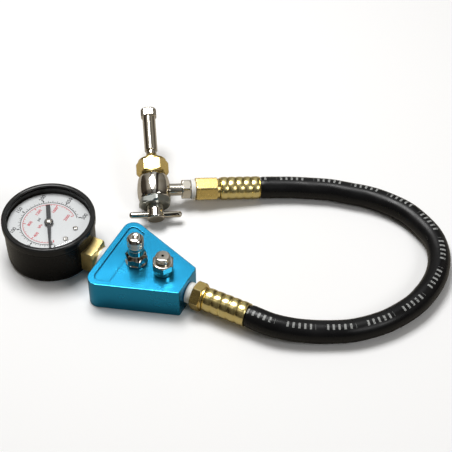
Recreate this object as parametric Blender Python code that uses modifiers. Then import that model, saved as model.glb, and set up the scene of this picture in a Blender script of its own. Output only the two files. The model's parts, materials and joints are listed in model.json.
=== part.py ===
"""A gas charging gauge set for suspension shocks.

A two inch pressure gauge and a rubber hose screw into an anodised manifold block that carries a
filling valve and a bleed button. The hose ends in a chuck with a cross handle.

Sizes are in millimetres and degrees. The helpers turn them into Blender's metres and radians.
The world's origin is the centre of the block's underside, +Z is up, and +X runs to the hose's loop.
"""
import math

import bmesh
import bpy
from mathutils import Matrix, Vector

MM = 0.001
GAP = 0.3            # left between pieces that rest on each other
SLIP = 0.15          # radial clearance of a piece inside a bore
OBJECT_NAME = "shock_charging_gauge_set"

# Manifold block, in its own frame: X runs from the gauge to the hose, and Y runs across.
BLOCK_TURN = -26.87
BLOCK_LENGTH = 50.5
BLOCK_WIDE = 55.2
BLOCK_NARROW = 20.2
BLOCK_THICK = 19.05
BLOCK_ROUND_WIDE = 6.0
BLOCK_ROUND_NARROW = 1.0
PORT_HEIGHT = 9.55
POCKET_INSET = 3.2
POCKET_INNER_EDGE = -12.1
POCKET_DEPTH = 0.6
GAUGE_PORT_RADIUS = 6.45
GAUGE_PORT_DEPTH = 12.0
HOSE_PORT_RADIUS = 5.15
HOSE_PORT_DEPTH = 9.5
DRILLING_RADIUS = 1.5
VALVE_BORE_RADIUS = 4.1
VALVE_BORE_FLOOR = 12.2

# Valve posts on top of the block.
POST_FLATS = 11.1
FILL_VALVE_X = -6.35
FILL_HEX_TURN = -46.0
BLEED_VALVE_X = 10.3
BLEED_HEX_TURN = -63.0

# Pressure gauge lying on its back; its X axis points along the stem.
GAUGE_X = -62.15
CASE_RADIUS = 25.4
CASE_WALL = 1.6
CASE_TOP = 22.4
BEZEL_RADIUS = 26.2
BEZEL_TOP = 27.9
STEM_FLATS = 14.3
STEM_INNER_END = 6.0
STEM_SHOULDER = 30.7
STEM_THREAD_RADIUS = 6.3
STEM_END = 48.4
DIAL_LEVEL = 21.2
DIAL_THICK = 0.6
DIAL_RADIUS = 23.2
POINTER_LEVEL = 23.1
POINTER_THICK = 0.35
POINTER_REST = -56.6
POINTER_LENGTH = 20.0
POINTER_TAIL = 13.0
STOP_PIN_ANGLE = -52.3
STOP_PIN_DISTANCE = 15.4
DIAL_SCREW_DISTANCE = 15.5
DIAL_SCREW_ANGLES = (12.4, -22.4)

# Gauge movement: a ten tooth pinion driven by a sector cut from an eighty tooth wheel.
PINION_TEETH = 10
SECTOR_WHEEL_TEETH = 80
SECTOR_TEETH = 12
TOOTH_MODULE = 0.32
TOOTH_TIP = 0.24
TOOTH_ROOT = 0.34
SECTOR_PIVOT_X = -TOOTH_MODULE * (PINION_TEETH + SECTOR_WHEEL_TEETH) / 2
SECTOR_START = -40.5
SECTOR_TAIL = 4.5
MOVEMENT_LEVEL = 17.0
GEAR_LEVEL = 18.3
GEAR_THICK = 0.9

# Hose and its crimped ferrules; distances run from the face that each fitting screws into.
HOSE_RADIUS = 6.35
HOSE_START = 36.5
HOSE_POINT_SPACING = 12.7
CRIMP_PITCH = 4.0
CRIMP_COUNT = 5
MANIFOLD_HEX_FLATS = 14.3
MANIFOLD_HEX_TURN = 16.5

# Chuck: its Z axis points out of the mouth, and its X axis runs along the hose fitting.
CHUCK_CENTRE = (1.55, 63.03, 12.55)
CHUCK_BEARING = 94.8
CHUCK_RISE = 19.6
INLET_BEARING = 6.95
INLET_RISE = -5.15
CHUCK_HOSE_START = 62.1
BARREL_BORE = 3.9
TUBE_RADIUS = 3.75
TUBE_MOUTH = 52.3
SOCKET_RADIUS = 3.85
SOCKET_FLOOR = 47.6
GLAND_FLATS = 17.0
GLAND_HEX_TURN = 34.0
TUBE_NUT_FLATS = 16.5
TUBE_NUT_HEX_TURN = -6.0
INLET_HEX_FLATS = 12.7
INLET_SMALL_FLATS = 10.7
INLET_HEX_TURN = -7.0
CROSS_BAR_RADIUS = 1.8
CROSS_BAR_LENGTH = 30.3
CROSS_BAR_Z = -15.6

# Hose route in the world, from the block's ferrule to the chuck's.
HOSE_ROUTE = [
    (66.9, -33.5, 8.8), (77.6, -36.0, 7.8), (88.2, -36.8, 6.9), (98.9, -36.8, 6.45),
    (109.6, -36.1, 6.45), (120.5, -33.3, 6.45), (131.5, -28.5, 6.45), (143.0, -20.5, 6.45),
    (150.5, -12.7, 6.45), (157.8, -1.3, 6.45), (161.8, 10.5, 6.45), (162.4, 22.5, 6.45),
    (159.0, 34.7, 6.45), (148.9, 49.1, 6.45), (138.1, 57.4, 6.45), (126.9, 63.0, 6.45),
    (115.5, 66.2, 6.45), (104.0, 69.1, 6.45), (92.4, 70.3, 6.45), (80.7, 71.1, 6.45),
]

LOOKS = {
    "blue_anodised": ((0.03, 0.36, 0.62), 0.9, 0.35),
    "brass": ((0.80, 0.60, 0.25), 1.0, 0.28),
    "nickel": ((0.72, 0.70, 0.66), 1.0, 0.22),
    "zinc": ((0.45, 0.50, 0.50), 1.0, 0.40),
    "rubber": ((0.015, 0.015, 0.016), 0.0, 0.55),
    "black_plastic": ((0.02, 0.02, 0.021), 0.0, 0.40),
    "white_tape": ((0.85, 0.85, 0.82), 0.0, 0.70),
    "clear_lens": ((0.95, 0.96, 0.96), 0.0, 0.05),
    "white_dial": ((0.80, 0.81, 0.80), 0.0, 0.50),
    "spring_steel": ((0.50, 0.50, 0.52), 1.0, 0.30),
}


# ---- helpers ------------------------------------------------------------------------------------

def clear_scene():
    """Remove everything that the file starts with."""
    for old in list(bpy.data.objects):
        bpy.data.objects.remove(old, do_unlink=True)


def new_collection(name):
    """Make a collection in the scene."""
    collection = bpy.data.collections.new(name)
    bpy.context.scene.collection.children.link(collection)
    return collection


def add_frame(name, location, rotation=None, parent=None):
    """Add an empty that carries a group of pieces."""
    empty = bpy.data.objects.new(name, None)
    empty.location = Vector(location) * MM
    if rotation is not None:
        empty.rotation_euler = rotation.to_euler()
    empty.parent = parent
    PARTS.objects.link(empty)
    return empty


def place(obj, look, parent):
    """Parent a piece, and give it its own material, or hide it as a cutter when it has none."""
    obj.parent = parent
    if look is None:
        CUTTERS.objects.link(obj)
        obj.hide_render = True
        obj.display_type = "WIRE"
        return obj
    colour, metallic, roughness = LOOKS[look]
    material = bpy.data.materials.new(obj.name)
    material.use_nodes = True
    shader = material.node_tree.nodes["Principled BSDF"]
    shader.inputs["Base Color"].default_value = (*colour, 1.0)
    shader.inputs["Metallic"].default_value = metallic
    shader.inputs["Roughness"].default_value = roughness
    obj.data.materials.append(material)
    PARTS.objects.link(obj)
    return obj


def turned(name, outline, look, parent, steps=24, ring=False, turn=0.0):
    """Turn an outline of (radius, height) points around Z.

    The outline runs down the outer side. A ring's outline then comes back up its bore.
    """
    mesh = bpy.data.meshes.new(name)
    shape = bmesh.new()
    points = [shape.verts.new((radius * MM, 0, height * MM)) for radius, height in outline]
    followers = points[1:] + points[:1] if ring else points[1:]
    for first, second in zip(points, followers):
        shape.edges.new((first, second))
    shape.to_mesh(mesh)
    shape.free()
    obj = bpy.data.objects.new(name, mesh)
    obj.rotation_euler.z = math.radians(turn)
    screw = obj.modifiers.new("turn", "SCREW")
    screw.angle = math.tau
    screw.steps = steps
    screw.render_steps = steps
    screw.use_merge_vertices = True
    screw.merge_threshold = 1e-6
    screw.use_smooth_shade = steps > 6
    return place(obj, look, parent)


def box(name, low, high, look, parent):
    """A box between two corners."""
    mesh = bpy.data.meshes.new(name)
    shape = bmesh.new()
    bmesh.ops.create_cube(shape, size=1.0)
    size = [(b - a) * MM for a, b in zip(low, high)]
    middle = [(a + b) / 2 * MM for a, b in zip(low, high)]
    bmesh.ops.scale(shape, vec=size, verts=shape.verts)
    bmesh.ops.translate(shape, vec=middle, verts=shape.verts)
    shape.to_mesh(mesh)
    shape.free()
    return place(bpy.data.objects.new(name, mesh), look, parent)


def curve_to_mesh(obj, look, parent):
    """Swap a curve object for the closed mesh that it draws."""
    name = obj.name
    PARTS.objects.link(obj)
    bpy.context.view_layer.update()
    evaluated = obj.evaluated_get(bpy.context.evaluated_depsgraph_get())
    mesh = bpy.data.meshes.new_from_object(evaluated)
    world = obj.matrix_world.copy()
    bpy.data.objects.remove(obj, do_unlink=True)
    shape = bmesh.new()
    shape.from_mesh(mesh)
    bmesh.ops.remove_doubles(shape, verts=shape.verts, dist=1e-6)
    bmesh.ops.dissolve_limit(shape, angle_limit=math.radians(0.1), verts=shape.verts,
                             edges=shape.edges)
    shape.to_mesh(mesh)
    shape.free()
    mesh.materials.clear()
    swapped = bpy.data.objects.new(name, mesh)
    swapped.name = name
    swapped.matrix_world = world
    return place(swapped, look, parent)


def plate(name, outline, low, high, look, parent):
    """A flat outline of (x, y) points between two heights."""
    curve = bpy.data.curves.new(name, "CURVE")
    curve.dimensions = "2D"
    curve.fill_mode = "BOTH"
    curve.extrude = (high - low) / 2 * MM
    spline = curve.splines.new("POLY")
    spline.points.add(len(outline) - 1)
    for point, (x, y) in zip(spline.points, outline):
        point.co = (x * MM, y * MM, 0, 1)
    spline.use_cyclic_u = True
    obj = bpy.data.objects.new(name, curve)
    obj.location.z = (low + high) / 2 * MM
    return curve_to_mesh(obj, look, parent)


def tube_along(name, points, radius, look, parent, sides):
    """A round bar along a path, with flat filled ends."""
    curve = bpy.data.curves.new(name, "CURVE")
    curve.dimensions = "3D"
    curve.bevel_depth = radius * MM
    curve.bevel_resolution = sides
    curve.use_fill_caps = True
    spline = curve.splines.new("POLY")
    spline.points.add(len(points) - 1)
    for point, position in zip(spline.points, points):
        point.co = (*(Vector(position) * MM), 1)
    return curve_to_mesh(bpy.data.objects.new(name, curve), look, parent)


def combine(obj, tool, operation="DIFFERENCE"):
    """Cut a piece with a cutter, or join the cutter's shape to it."""
    boolean = obj.modifiers.new(tool.name, "BOOLEAN")
    boolean.operation = operation
    boolean.solver = "EXACT"
    boolean.object = tool


def round_edges(obj, width, angle=50.0):
    """Break the piece's sharp edges."""
    bevel = obj.modifiers.new("edge", "BEVEL")
    bevel.width = width * MM
    bevel.segments = 1
    bevel.limit_method = "ANGLE"
    bevel.angle_limit = math.radians(angle)


def drill(obj, name, radius, low, high, parent, at=(0, 0), steps=16):
    """Cut a round hole along the parent frame's Z."""
    outline = [(0, high), (radius, high), (radius, low), (0, low)]
    cutter = turned(name, outline, None, parent, steps)
    cutter.location = (at[0] * MM, at[1] * MM, 0)
    combine(obj, cutter)


def cut_hex(obj, flats, low, high, parent, turn, at=(0, 0)):
    """Cut six flats across a stretch of a turned piece."""
    corner = flats / math.sqrt(3)
    outline = [(corner * 2, high), (corner * 2, low), (corner, low), (corner, high)]
    cutter = turned(obj.name + "_flats", outline, None, parent, 6, True, turn)
    cutter.location = (at[0] * MM, at[1] * MM, 0)
    combine(obj, cutter)


def rounded(corners, radii, steps=5):
    """Points of a polygon whose corners are rounded, going round in order."""
    outline = []
    for index, corner in enumerate(corners):
        here = Vector(corner)
        before = (Vector(corners[index - 1]) - here).normalized()
        after = (Vector(corners[(index + 1) % len(corners)]) - here).normalized()
        half = before.angle(after) / 2
        centre = here + (before + after).normalized() * radii[index] / math.sin(half)
        reach = radii[index] / math.tan(half)
        start = here + before * reach - centre
        end = here + after * reach - centre
        sweep = start.angle_signed(end)
        for step in range(steps + 1):
            outline.append(tuple(centre + Matrix.Rotation(-sweep * step / steps, 2) @ start))
    return outline


def arc(radius, start, end, steps):
    """Points along an arc around the origin."""
    angles = [math.radians(start + (end - start) * step / steps) for step in range(steps + 1)]
    return [(radius * math.cos(angle), radius * math.sin(angle)) for angle in angles]


def polar(radius, angle):
    """A point at a distance and an angle from the origin."""
    return radius * math.cos(math.radians(angle)), radius * math.sin(math.radians(angle))


def teeth(wheel_teeth, count, start):
    """Points along a run of gear teeth, centred on start plus whole pitches."""
    pitch_radius = TOOTH_MODULE * wheel_teeth / 2
    pitch = 360.0 / wheel_teeth
    points = []
    for tooth in range(count):
        middle = start + tooth * pitch
        points.append(polar(pitch_radius - TOOTH_ROOT, middle - 0.26 * pitch))
        points.append(polar(pitch_radius + TOOTH_TIP, middle - 0.10 * pitch))
        points.append(polar(pitch_radius + TOOTH_TIP, middle + 0.10 * pitch))
        points.append(polar(pitch_radius - TOOTH_ROOT, middle + 0.26 * pitch))
    return points


def along_x(name, location, parent, backwards=False):
    """A frame whose Z axis runs along its parent's X axis, or against it."""
    quarter = math.radians(-90 if backwards else 90)
    return add_frame(name, location, Matrix.Rotation(quarter, 3, "Y"), parent)


# ---- manifold block and valve posts ---------------------------------------------------------------

def block_outline(inset=0.0):
    """The block's outline, or the pocket's edge a distance inside it."""
    half_length = BLOCK_LENGTH / 2
    wide = BLOCK_WIDE / 2
    narrow = BLOCK_NARROW / 2
    slope = math.atan2(wide - narrow, BLOCK_LENGTH)
    side_shift = inset / math.cos(slope)

    def half_width(x):
        return wide - (x + half_length) * math.tan(slope) - side_shift

    start = -half_length + inset
    end = half_length if inset == 0 else POCKET_INNER_EDGE
    corners = [(start, -half_width(start)), (end, -half_width(end)),
               (end, half_width(end)), (start, half_width(start))]
    wide_round = BLOCK_ROUND_WIDE - inset * 0.8
    return rounded(corners, [wide_round, BLOCK_ROUND_NARROW, BLOCK_ROUND_NARROW, wide_round])


def make_block(block_frame, gauge_port, hose_port):
    """The anodised block with its pocket, two ports, two valve bores and the drillings."""
    block = plate("manifold_block", block_outline(), 0, BLOCK_THICK, "blue_anodised", block_frame)
    round_edges(block, 0.4)
    pocket = plate("pocket", block_outline(POCKET_INSET), BLOCK_THICK - POCKET_DEPTH,
                   BLOCK_THICK + 2, None, block_frame)
    combine(block, pocket)
    drill(block, "gauge_port", GAUGE_PORT_RADIUS, -GAUGE_PORT_DEPTH, 2, gauge_port, steps=24)
    drill(block, "hose_port", HOSE_PORT_RADIUS, -HOSE_PORT_DEPTH, 2, hose_port, steps=24)
    gauge_port_floor = GAUGE_PORT_DEPTH - BLOCK_LENGTH
    drill(block, "long_drilling", DRILLING_RADIUS, gauge_port_floor - 2, 1 - HOSE_PORT_DEPTH,
          hose_port, steps=10)
    for name, x in (("fill_bore", FILL_VALVE_X), ("bleed_bore", BLEED_VALVE_X)):
        drill(block, name, VALVE_BORE_RADIUS, VALVE_BORE_FLOOR, BLOCK_THICK + 2,
              block_frame, (x, 0), 22)
        drill(block, name + "_drilling", DRILLING_RADIUS - 0.2, PORT_HEIGHT,
              VALVE_BORE_FLOOR + 1, block_frame, (x, 0), 10)


def make_fill_valve(post):
    """The filling valve: body, valve core, sprung core pin and knurled metal cap."""
    foot = BLOCK_THICK + GAP
    body_radius = VALVE_BORE_RADIUS - SLIP
    corner = POST_FLATS / math.sqrt(3)
    outline = [
        (2.4, 36.0), (3.4, 36.0), (3.7, 35.5), (3.7, 30.2), (4.35, 29.9), (4.35, 26.3),
        (5.55, 24.3), (corner, 23.9), (corner, 20.3), (6.1, 20.1), (6.1, foot),
        (body_radius, foot), (body_radius, VALVE_BORE_FLOOR + GAP), (2.4, VALVE_BORE_FLOOR + GAP),
    ]
    body = turned("fill_valve_body", outline, "nickel", post, 20, True)
    cut_hex(body, POST_FLATS, 20.1, 25.0, post, FILL_HEX_TURN)
    core = [(0.8, 35.2), (1.7, 35.2), (2.25, 34.6), (2.25, 31.5), (1.8, 31.0), (1.8, 28.0),
            (0.8, 28.0)]
    turned("fill_core_body", core, "brass", post, 16, True)
    pin = [(0, 35.8), (0.4, 35.8), (0.6, 35.5), (0.6, 27.7), (1.6, 27.7), (1.6, 26.6), (0, 26.4)]
    turned("fill_core_pin", pin, "brass", post, 12)
    cap = [
        (0, 37.9), (1.2, 38.1), (2.2, 38.5), (3.4, 38.2), (4.1, 37.3), (4.6, 36.8), (4.6, 33.1),
        (4.4, 32.9), (4.5, 30.5), (3.95, 30.5), (3.95, 36.5), (0, 36.5),
    ]
    turned("fill_valve_cap", cap, "nickel", post, 24)


def make_bleed_valve(post):
    """The bleed valve: hexagon body, sprung button with a vent hole, and its spring."""
    foot = BLOCK_THICK + GAP
    body_radius = VALVE_BORE_RADIUS - SLIP
    corner = POST_FLATS / math.sqrt(3)
    outline = [
        (3.5, 27.3), (5.3, 27.3), (corner, 26.8), (corner, 22.8), (5.3, 22.6), (5.3, foot),
        (body_radius, foot), (body_radius, VALVE_BORE_FLOOR + GAP),
        (1.3, VALVE_BORE_FLOOR + GAP), (1.3, 20.0), (3.5, 20.0),
    ]
    body = turned("bleed_valve_body", outline, "nickel", post, 24, True)
    cut_hex(body, POST_FLATS, 22.6, 28.0, post, BLEED_HEX_TURN)
    button = [
        (0, 29.5), (1.0, 29.5), (1.0, 31.7), (3.3, 31.7), (3.9, 31.1), (3.9, 29.6), (4.2, 29.4),
        (4.2, 28.9), (3.3, 28.8), (3.3, 24.7), (1.1, 24.7), (1.1, 15.5), (0, 15.5),
    ]
    turned("bleed_button", button, "nickel", post, 20)
    turns = 3.5
    count = 36
    bottom = 20.75
    top = 24.0
    points = []
    for step in range(count + 1):
        share = step / count
        x, y = polar(2.4, share * turns * 360)
        points.append((x, y, bottom + (top - bottom) * share))
    tube_along("bleed_spring", points, 0.3, "spring_steel", post, 0)


# ---- hose fittings --------------------------------------------------------------------------------

def make_nipple(name, frame, thread, hexagon, tail, flats, turn):
    """A brass fitting: thread, hexagon with a collar, and a barbed tail inside the hose.

    thread is (start, radius), hexagon is (start, end), and tail is (collar end, tail end).
    """
    corner = flats / math.sqrt(3)
    collar = flats / 2 - 0.55
    thread_start, thread_radius = thread
    outline = [(1.5, tail[1]), (2.7, tail[1])]
    barb_count = 3
    barb_pitch = (tail[1] - tail[0] - 2) / barb_count
    for barb in range(barb_count):
        high = tail[1] - barb * barb_pitch
        outline.append((3.3, high - barb_pitch + 0.5))
        outline.append((2.8, high - barb_pitch + 0.2))
    outline += [
        (2.8, tail[0]), (collar, tail[0]), (collar, hexagon[1]), (corner - 0.5, hexagon[1]),
        (corner, hexagon[1] - 0.4), (corner, hexagon[0] + 0.4), (corner - 0.5, hexagon[0]),
        (thread_radius, hexagon[0]), (thread_radius - 0.2, thread_start), (1.5, thread_start),
    ]
    nipple = turned(name, outline, "brass", frame, 18, True)
    cut_hex(nipple, flats, hexagon[0] - 0.1, hexagon[1], frame, turn)


def make_ferrule(name, frame, start, end):
    """A brass sleeve crimped into a row of rounded bulges."""
    outline = [(5.5, end), (6.1, end)]
    middle = (start + end) / 2
    for bulge in reversed(range(CRIMP_COUNT)):
        centre = middle + (bulge - (CRIMP_COUNT - 1) / 2) * CRIMP_PITCH
        outline.append((6.7, centre + 0.9))
        outline.append((6.7, centre - 0.9))
        outline.append((6.05, centre - CRIMP_PITCH / 2))
    outline += [(6.5, start + 0.8), (6.2, start), (5.5, start)]
    turned(name, outline, "brass", frame, 18, True)


def make_tape(name, frame, start, end, inner, outer):
    """White sealing tape wound round a thread."""
    outline = [(inner, end), (outer - 0.2, end), (outer, (start + end) / 2),
               (outer - 0.1, start), (inner, start)]
    turned(name, outline, "white_tape", frame, 24, True)


def make_hose_end(side, frame, ferrule, tail_start):
    """The ferrule and the stretch of hose that it grips."""
    make_ferrule("ferrule_" + side, frame, ferrule[0], ferrule[1])
    outline = [(3.5, ferrule[1]), (5.35, ferrule[1]), (5.35, tail_start), (3.5, tail_start)]
    turned("hose_tail_" + side, outline, "rubber", frame, 20, True)


def smooth_path(points, spacing):
    """Read evenly spaced points from a smooth curve through the given ones."""
    dense = []
    for index in range(1, len(points) - 2):
        before, here, after, beyond = points[index - 1:index + 3]
        for step in range(16):
            t = step / 16
            dense.append(0.5 * (2 * here + (after - before) * t
                                + (2 * before - 5 * here + 4 * after - beyond) * t ** 2
                                + (3 * here - before - 3 * after + beyond) * t ** 3))
    dense.append(points[-2])
    travelled = [0.0]
    for first, second in zip(dense, dense[1:]):
        travelled.append(travelled[-1] + (second - first).length)
    count = round(travelled[-1] / spacing)
    path = []
    index = 0
    for step in range(count + 1):
        wanted = travelled[-1] * step / count
        while index < len(dense) - 2 and travelled[index + 1] < wanted:
            index += 1
        share = (wanted - travelled[index]) / (travelled[index + 1] - travelled[index])
        path.append(dense[index].lerp(dense[index + 1], share))
    return path


def make_hose(hose_port, inlet):
    """The rubber hose from one ferrule's mouth to the other's."""
    bpy.context.view_layer.update()
    start = hose_port.matrix_world @ Vector((0, 0, HOSE_START * MM)) / MM
    before_start = hose_port.matrix_world @ Vector((0, 0, (HOSE_START - 12) * MM)) / MM
    end = inlet.matrix_world @ Vector((0, 0, CHUCK_HOSE_START * MM)) / MM
    beyond_end = inlet.matrix_world @ Vector((0, 0, (CHUCK_HOSE_START - 12) * MM)) / MM
    route = [before_start, start] + [Vector(point) for point in HOSE_ROUTE] + [end, beyond_end]
    path = smooth_path(route, HOSE_POINT_SPACING)
    first_step = start + (start - before_start).normalized() * 2
    last_step = end + (end - beyond_end).normalized() * 2
    path = [start, first_step] + path[1:-1] + [last_step, end]
    tube_along("hose", path, HOSE_RADIUS, "rubber", None, 2)


# ---- pressure gauge -------------------------------------------------------------------------------

def make_gauge_shell(gauge, stem):
    """Case, bezel, lens and the brass stem whose inner block carries the movement."""
    low = PORT_HEIGHT - STEM_FLATS / 2
    high = PORT_HEIGHT + STEM_FLATS / 2
    half = STEM_FLATS / 2
    inside = CASE_RADIUS - CASE_WALL
    outline = [
        (0, CASE_WALL), (inside - 0.5, CASE_WALL), (inside, CASE_TOP), (CASE_RADIUS, CASE_TOP),
        (CASE_RADIUS - 0.4, 1.0), (CASE_RADIUS - 1.3, 0), (0, 0),
    ]
    case = turned("gauge_case", outline, "black_plastic", gauge, 40)
    window = box("stem_window", (15, -half - SLIP, low - SLIP), (30, half + SLIP, high + SLIP),
                 None, gauge)
    combine(case, window)

    bezel_low = CASE_TOP + GAP
    ledge = 24.9
    lens_radius = 25.0
    outline = [
        (23.2, 27.1), (23.4, 27.7), (24.2, BEZEL_TOP), (25.6, BEZEL_TOP), (BEZEL_RADIUS, 27.2),
        (BEZEL_RADIUS, 23.2), (25.8, bezel_low), (23.9, bezel_low), (23.9, ledge),
        (lens_radius + SLIP, ledge), (lens_radius + SLIP, 27.1),
    ]
    turned("gauge_bezel", outline, "black_plastic", gauge, 40, True)
    outline = [(0, 26.8), (lens_radius, 26.8), (lens_radius, ledge + 0.25), (0, ledge + 0.25)]
    turned("gauge_lens", outline, "clear_lens", gauge, 40)

    socket = box("gauge_stem", (STEM_INNER_END, -half, low), (STEM_SHOULDER, half, high),
                 "brass", gauge)
    round_edges(socket, 0.5)
    outline = [
        (0, STEM_END), (5.9, STEM_END), (STEM_THREAD_RADIUS, STEM_END - 1.5),
        (STEM_THREAD_RADIUS, 32.4), (half - 0.1, STEM_SHOULDER - 0.1),
        (half - 0.1, STEM_SHOULDER - 3), (0, STEM_SHOULDER - 3),
    ]
    combine(socket, turned("stem_thread", outline, None, stem, 24), "UNION")
    drill(socket, "stem_drilling", DRILLING_RADIUS, 14, STEM_END + 1, stem, steps=10)
    side = add_frame("tube_root", (16.6, 0, 8), Matrix.Rotation(math.radians(-90), 3, "X"), gauge)
    drill(socket, "tube_drilling", 1.0, 0, half + 1, side, steps=10)


def make_bourdon_tube(gauge):
    """The curved pressure tube, from the stem's block round to its free end."""
    outline = arc(19.7, 24.5, 296, 36) + arc(17.3, 296, 26.5, 36)
    plate("bourdon_tube", outline, 4.5, 11.5, "brass", gauge)


def make_dial(gauge):
    """Dial disc on two posts, its screws, and the pointer's stop pin."""
    top = DIAL_LEVEL + DIAL_THICK
    outline = [(1.4, top), (DIAL_RADIUS, top), (DIAL_RADIUS, DIAL_LEVEL), (1.4, DIAL_LEVEL)]
    dial = turned("gauge_dial", outline, "white_dial", gauge, 40, True)
    for number, angle in enumerate(DIAL_SCREW_ANGLES, 1):
        at = polar(DIAL_SCREW_DISTANCE, angle)
        spot = add_frame(f"dial_screw_spot_{number}", (*at, 0), None, gauge)
        drill(dial, f"dial_hole_{number}", 0.95, DIAL_LEVEL - 1, top + 1, spot, steps=10)
        outline = [(0, 22.8), (1.1, 22.8), (1.4, 22.6), (1.4, top + GAP), (0.8, top + GAP),
                   (0.8, 19.0), (0, 19.0)]
        screw = turned(f"dial_screw_{number}", outline, "brass", spot, 16)
        slot = box(f"screw_slot_{number}", (-2, -0.2, 22.5), (2, 0.2, 24), None, spot)
        combine(screw, slot)
        outline = [(0, 18.5), (0.95, 18.5), (0.95, DIAL_LEVEL - GAP), (1.7, DIAL_LEVEL - GAP),
                   (1.7, 17.0), (0, 17.0)]
        turned(f"dial_post_{number}", outline, "brass", spot, 12)
    spot = add_frame("stop_pin_spot", (*polar(STOP_PIN_DISTANCE, STOP_PIN_ANGLE), 0), None, gauge)
    drill(dial, "stop_pin_hole", 0.5, DIAL_LEVEL - 1, top + 1, spot, steps=8)
    outline = [(0, 24.0), (0.35, 24.0), (0.35, 20.0), (0, 20.0)]
    turned("stop_pin", outline, "spring_steel", spot, 10)


def make_pointer(gauge):
    """The pointer and the arbor, with its pinion, that carries it."""
    axis = add_frame("pointer_axis", (0, 0, 0), Matrix.Rotation(math.radians(POINTER_REST), 3, "Z"),
                     gauge)
    outline = [(POINTER_LENGTH, 0.45), (3, 1.1), (1.8, 2.4), (-1.8, 2.4), (-3.4, 1.2),
               (-POINTER_TAIL, 1.2), (-POINTER_TAIL, -1.2), (-3.4, -1.2), (-1.8, -2.4),
               (1.8, -2.4), (3, -1.1), (POINTER_LENGTH, -0.45)]
    pointer = plate("pointer", outline, POINTER_LEVEL, POINTER_LEVEL + POINTER_THICK,
                    "black_plastic", axis)
    drill(pointer, "pointer_hole", 0.9, POINTER_LEVEL - 1, POINTER_LEVEL + 1, axis, steps=12)
    outline = [(0, 24.5), (1.2, 24.3), (1.9, 23.75), (0.75, 23.75), (0.75, 17.95), (0, 17.95)]
    arbor = turned("pointer_arbor", outline, "brass", axis, 16)
    pinion = plate("pinion_teeth", teeth(PINION_TEETH, PINION_TEETH, 180 / PINION_TEETH),
                   GEAR_LEVEL, GEAR_LEVEL + GEAR_THICK, None, axis)
    pinion.rotation_euler.z = math.radians(-POINTER_REST)
    combine(arbor, pinion, "UNION")


def make_movement(gauge):
    """Movement plates on pillars, the toothed sector between them, and its link."""
    base_top = MOVEMENT_LEVEL + 0.6
    roof = 20.0
    half = 6.0
    corners = [(-19.5, -half), (11.5, -half), (11.5, half), (-19.5, half)]
    outline = rounded(corners, [3.0] * 4, 3)
    base = plate("movement_base", outline, MOVEMENT_LEVEL, base_top, "brass", gauge)
    roof_plate = plate("movement_roof", outline, roof, roof + 0.6, "brass", gauge)
    for number, at in enumerate(((7, 4), (7, -4), (-14.4, 4.4), (-14.4, -4.4)), 1):
        outline = [(0, roof - GAP), (0.9, roof - GAP), (0.9, base_top - 0.3), (0, base_top - 0.3)]
        pillar = turned(f"pillar_{number}", outline, None, gauge, 10)
        pillar.location = (at[0] * MM, at[1] * MM, 0)
        combine(base, pillar, "UNION")
    drill(roof_plate, "arbor_hole", 0.95, roof - 1, roof + 1, gauge, steps=12)
    drill(roof_plate, "sector_hole", 0.75, roof - 1, roof + 1, gauge, (SECTOR_PIVOT_X, 0), 10)

    pivot = add_frame("sector_pivot", (SECTOR_PIVOT_X, 0, 0), None, gauge)
    pitch = 360.0 / SECTOR_WHEEL_TEETH
    end = SECTOR_START + (SECTOR_TEETH - 1) * pitch
    outline = teeth(SECTOR_WHEEL_TEETH, SECTOR_TEETH, SECTOR_START)
    outline += [polar(2.0, end + 25), polar(2.0, 120)]
    outline += [(-SECTOR_TAIL, 1.2), (-SECTOR_TAIL, -1.2), polar(2.0, -120)]
    outline += [polar(2.0, SECTOR_START - 25)]
    sector = plate("sector_gear", outline, GEAR_LEVEL, GEAR_LEVEL + GEAR_THICK, "brass", pivot)
    shaft = [(0, 20.5), (0.6, 20.5), (0.6, 17.95), (0, 17.95)]
    combine(sector, turned("sector_shaft", shaft, None, pivot, 10), "UNION")
    tail = add_frame("link_pivot", (-SECTOR_TAIL + 0.9, 0, 0), None, pivot)
    pin = [(0, 19.75), (0.3, 19.75), (0.3, 19.0), (0, 19.0)]
    combine(sector, turned("link_pin", pin, None, tail, 8), "UNION")
    outline = [(-0.9, 0.9), (-0.9, -12), (0.9, -12), (0.9, 0.9)]
    link = plate("movement_link", outline, 19.4, 19.7, "brass", tail)
    drill(link, "link_hole", 0.45, 19, 20, tail, steps=8)


# ---- chuck ----------------------------------------------------------------------------------------

def make_inlet(inlet):
    """The nickel nipple on the barrel's side, with the brass hose fitting screwed into it."""
    corner = INLET_SMALL_FLATS / math.sqrt(3)
    outline = [
        (4.15, 20.9), (corner - 0.5, 20.9), (corner, 20.5), (corner, 16.6), (corner - 0.5, 16.2),
        (3.5, 16.2), (3.5, 6.2), (1.3, 6.2), (1.3, 16.4), (4.15, 16.4),
    ]
    nipple = turned("chuck_nipple", outline, "nickel", inlet, 20, True)
    cut_hex(nipple, INLET_SMALL_FLATS, 16.1, 22.0, inlet, INLET_HEX_TURN)
    make_nipple("hose_nipple_chuck", inlet, (16.8, 4.0), (24.3, 36.6), (38.1, 59.5),
                INLET_HEX_FLATS, INLET_HEX_TURN)
    make_tape("chuck_tape", inlet, 21.4, 24.0, 4.2, 5.9)
    make_hose_end("chuck", inlet, (38.4, 61.8), 38.6)


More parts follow.
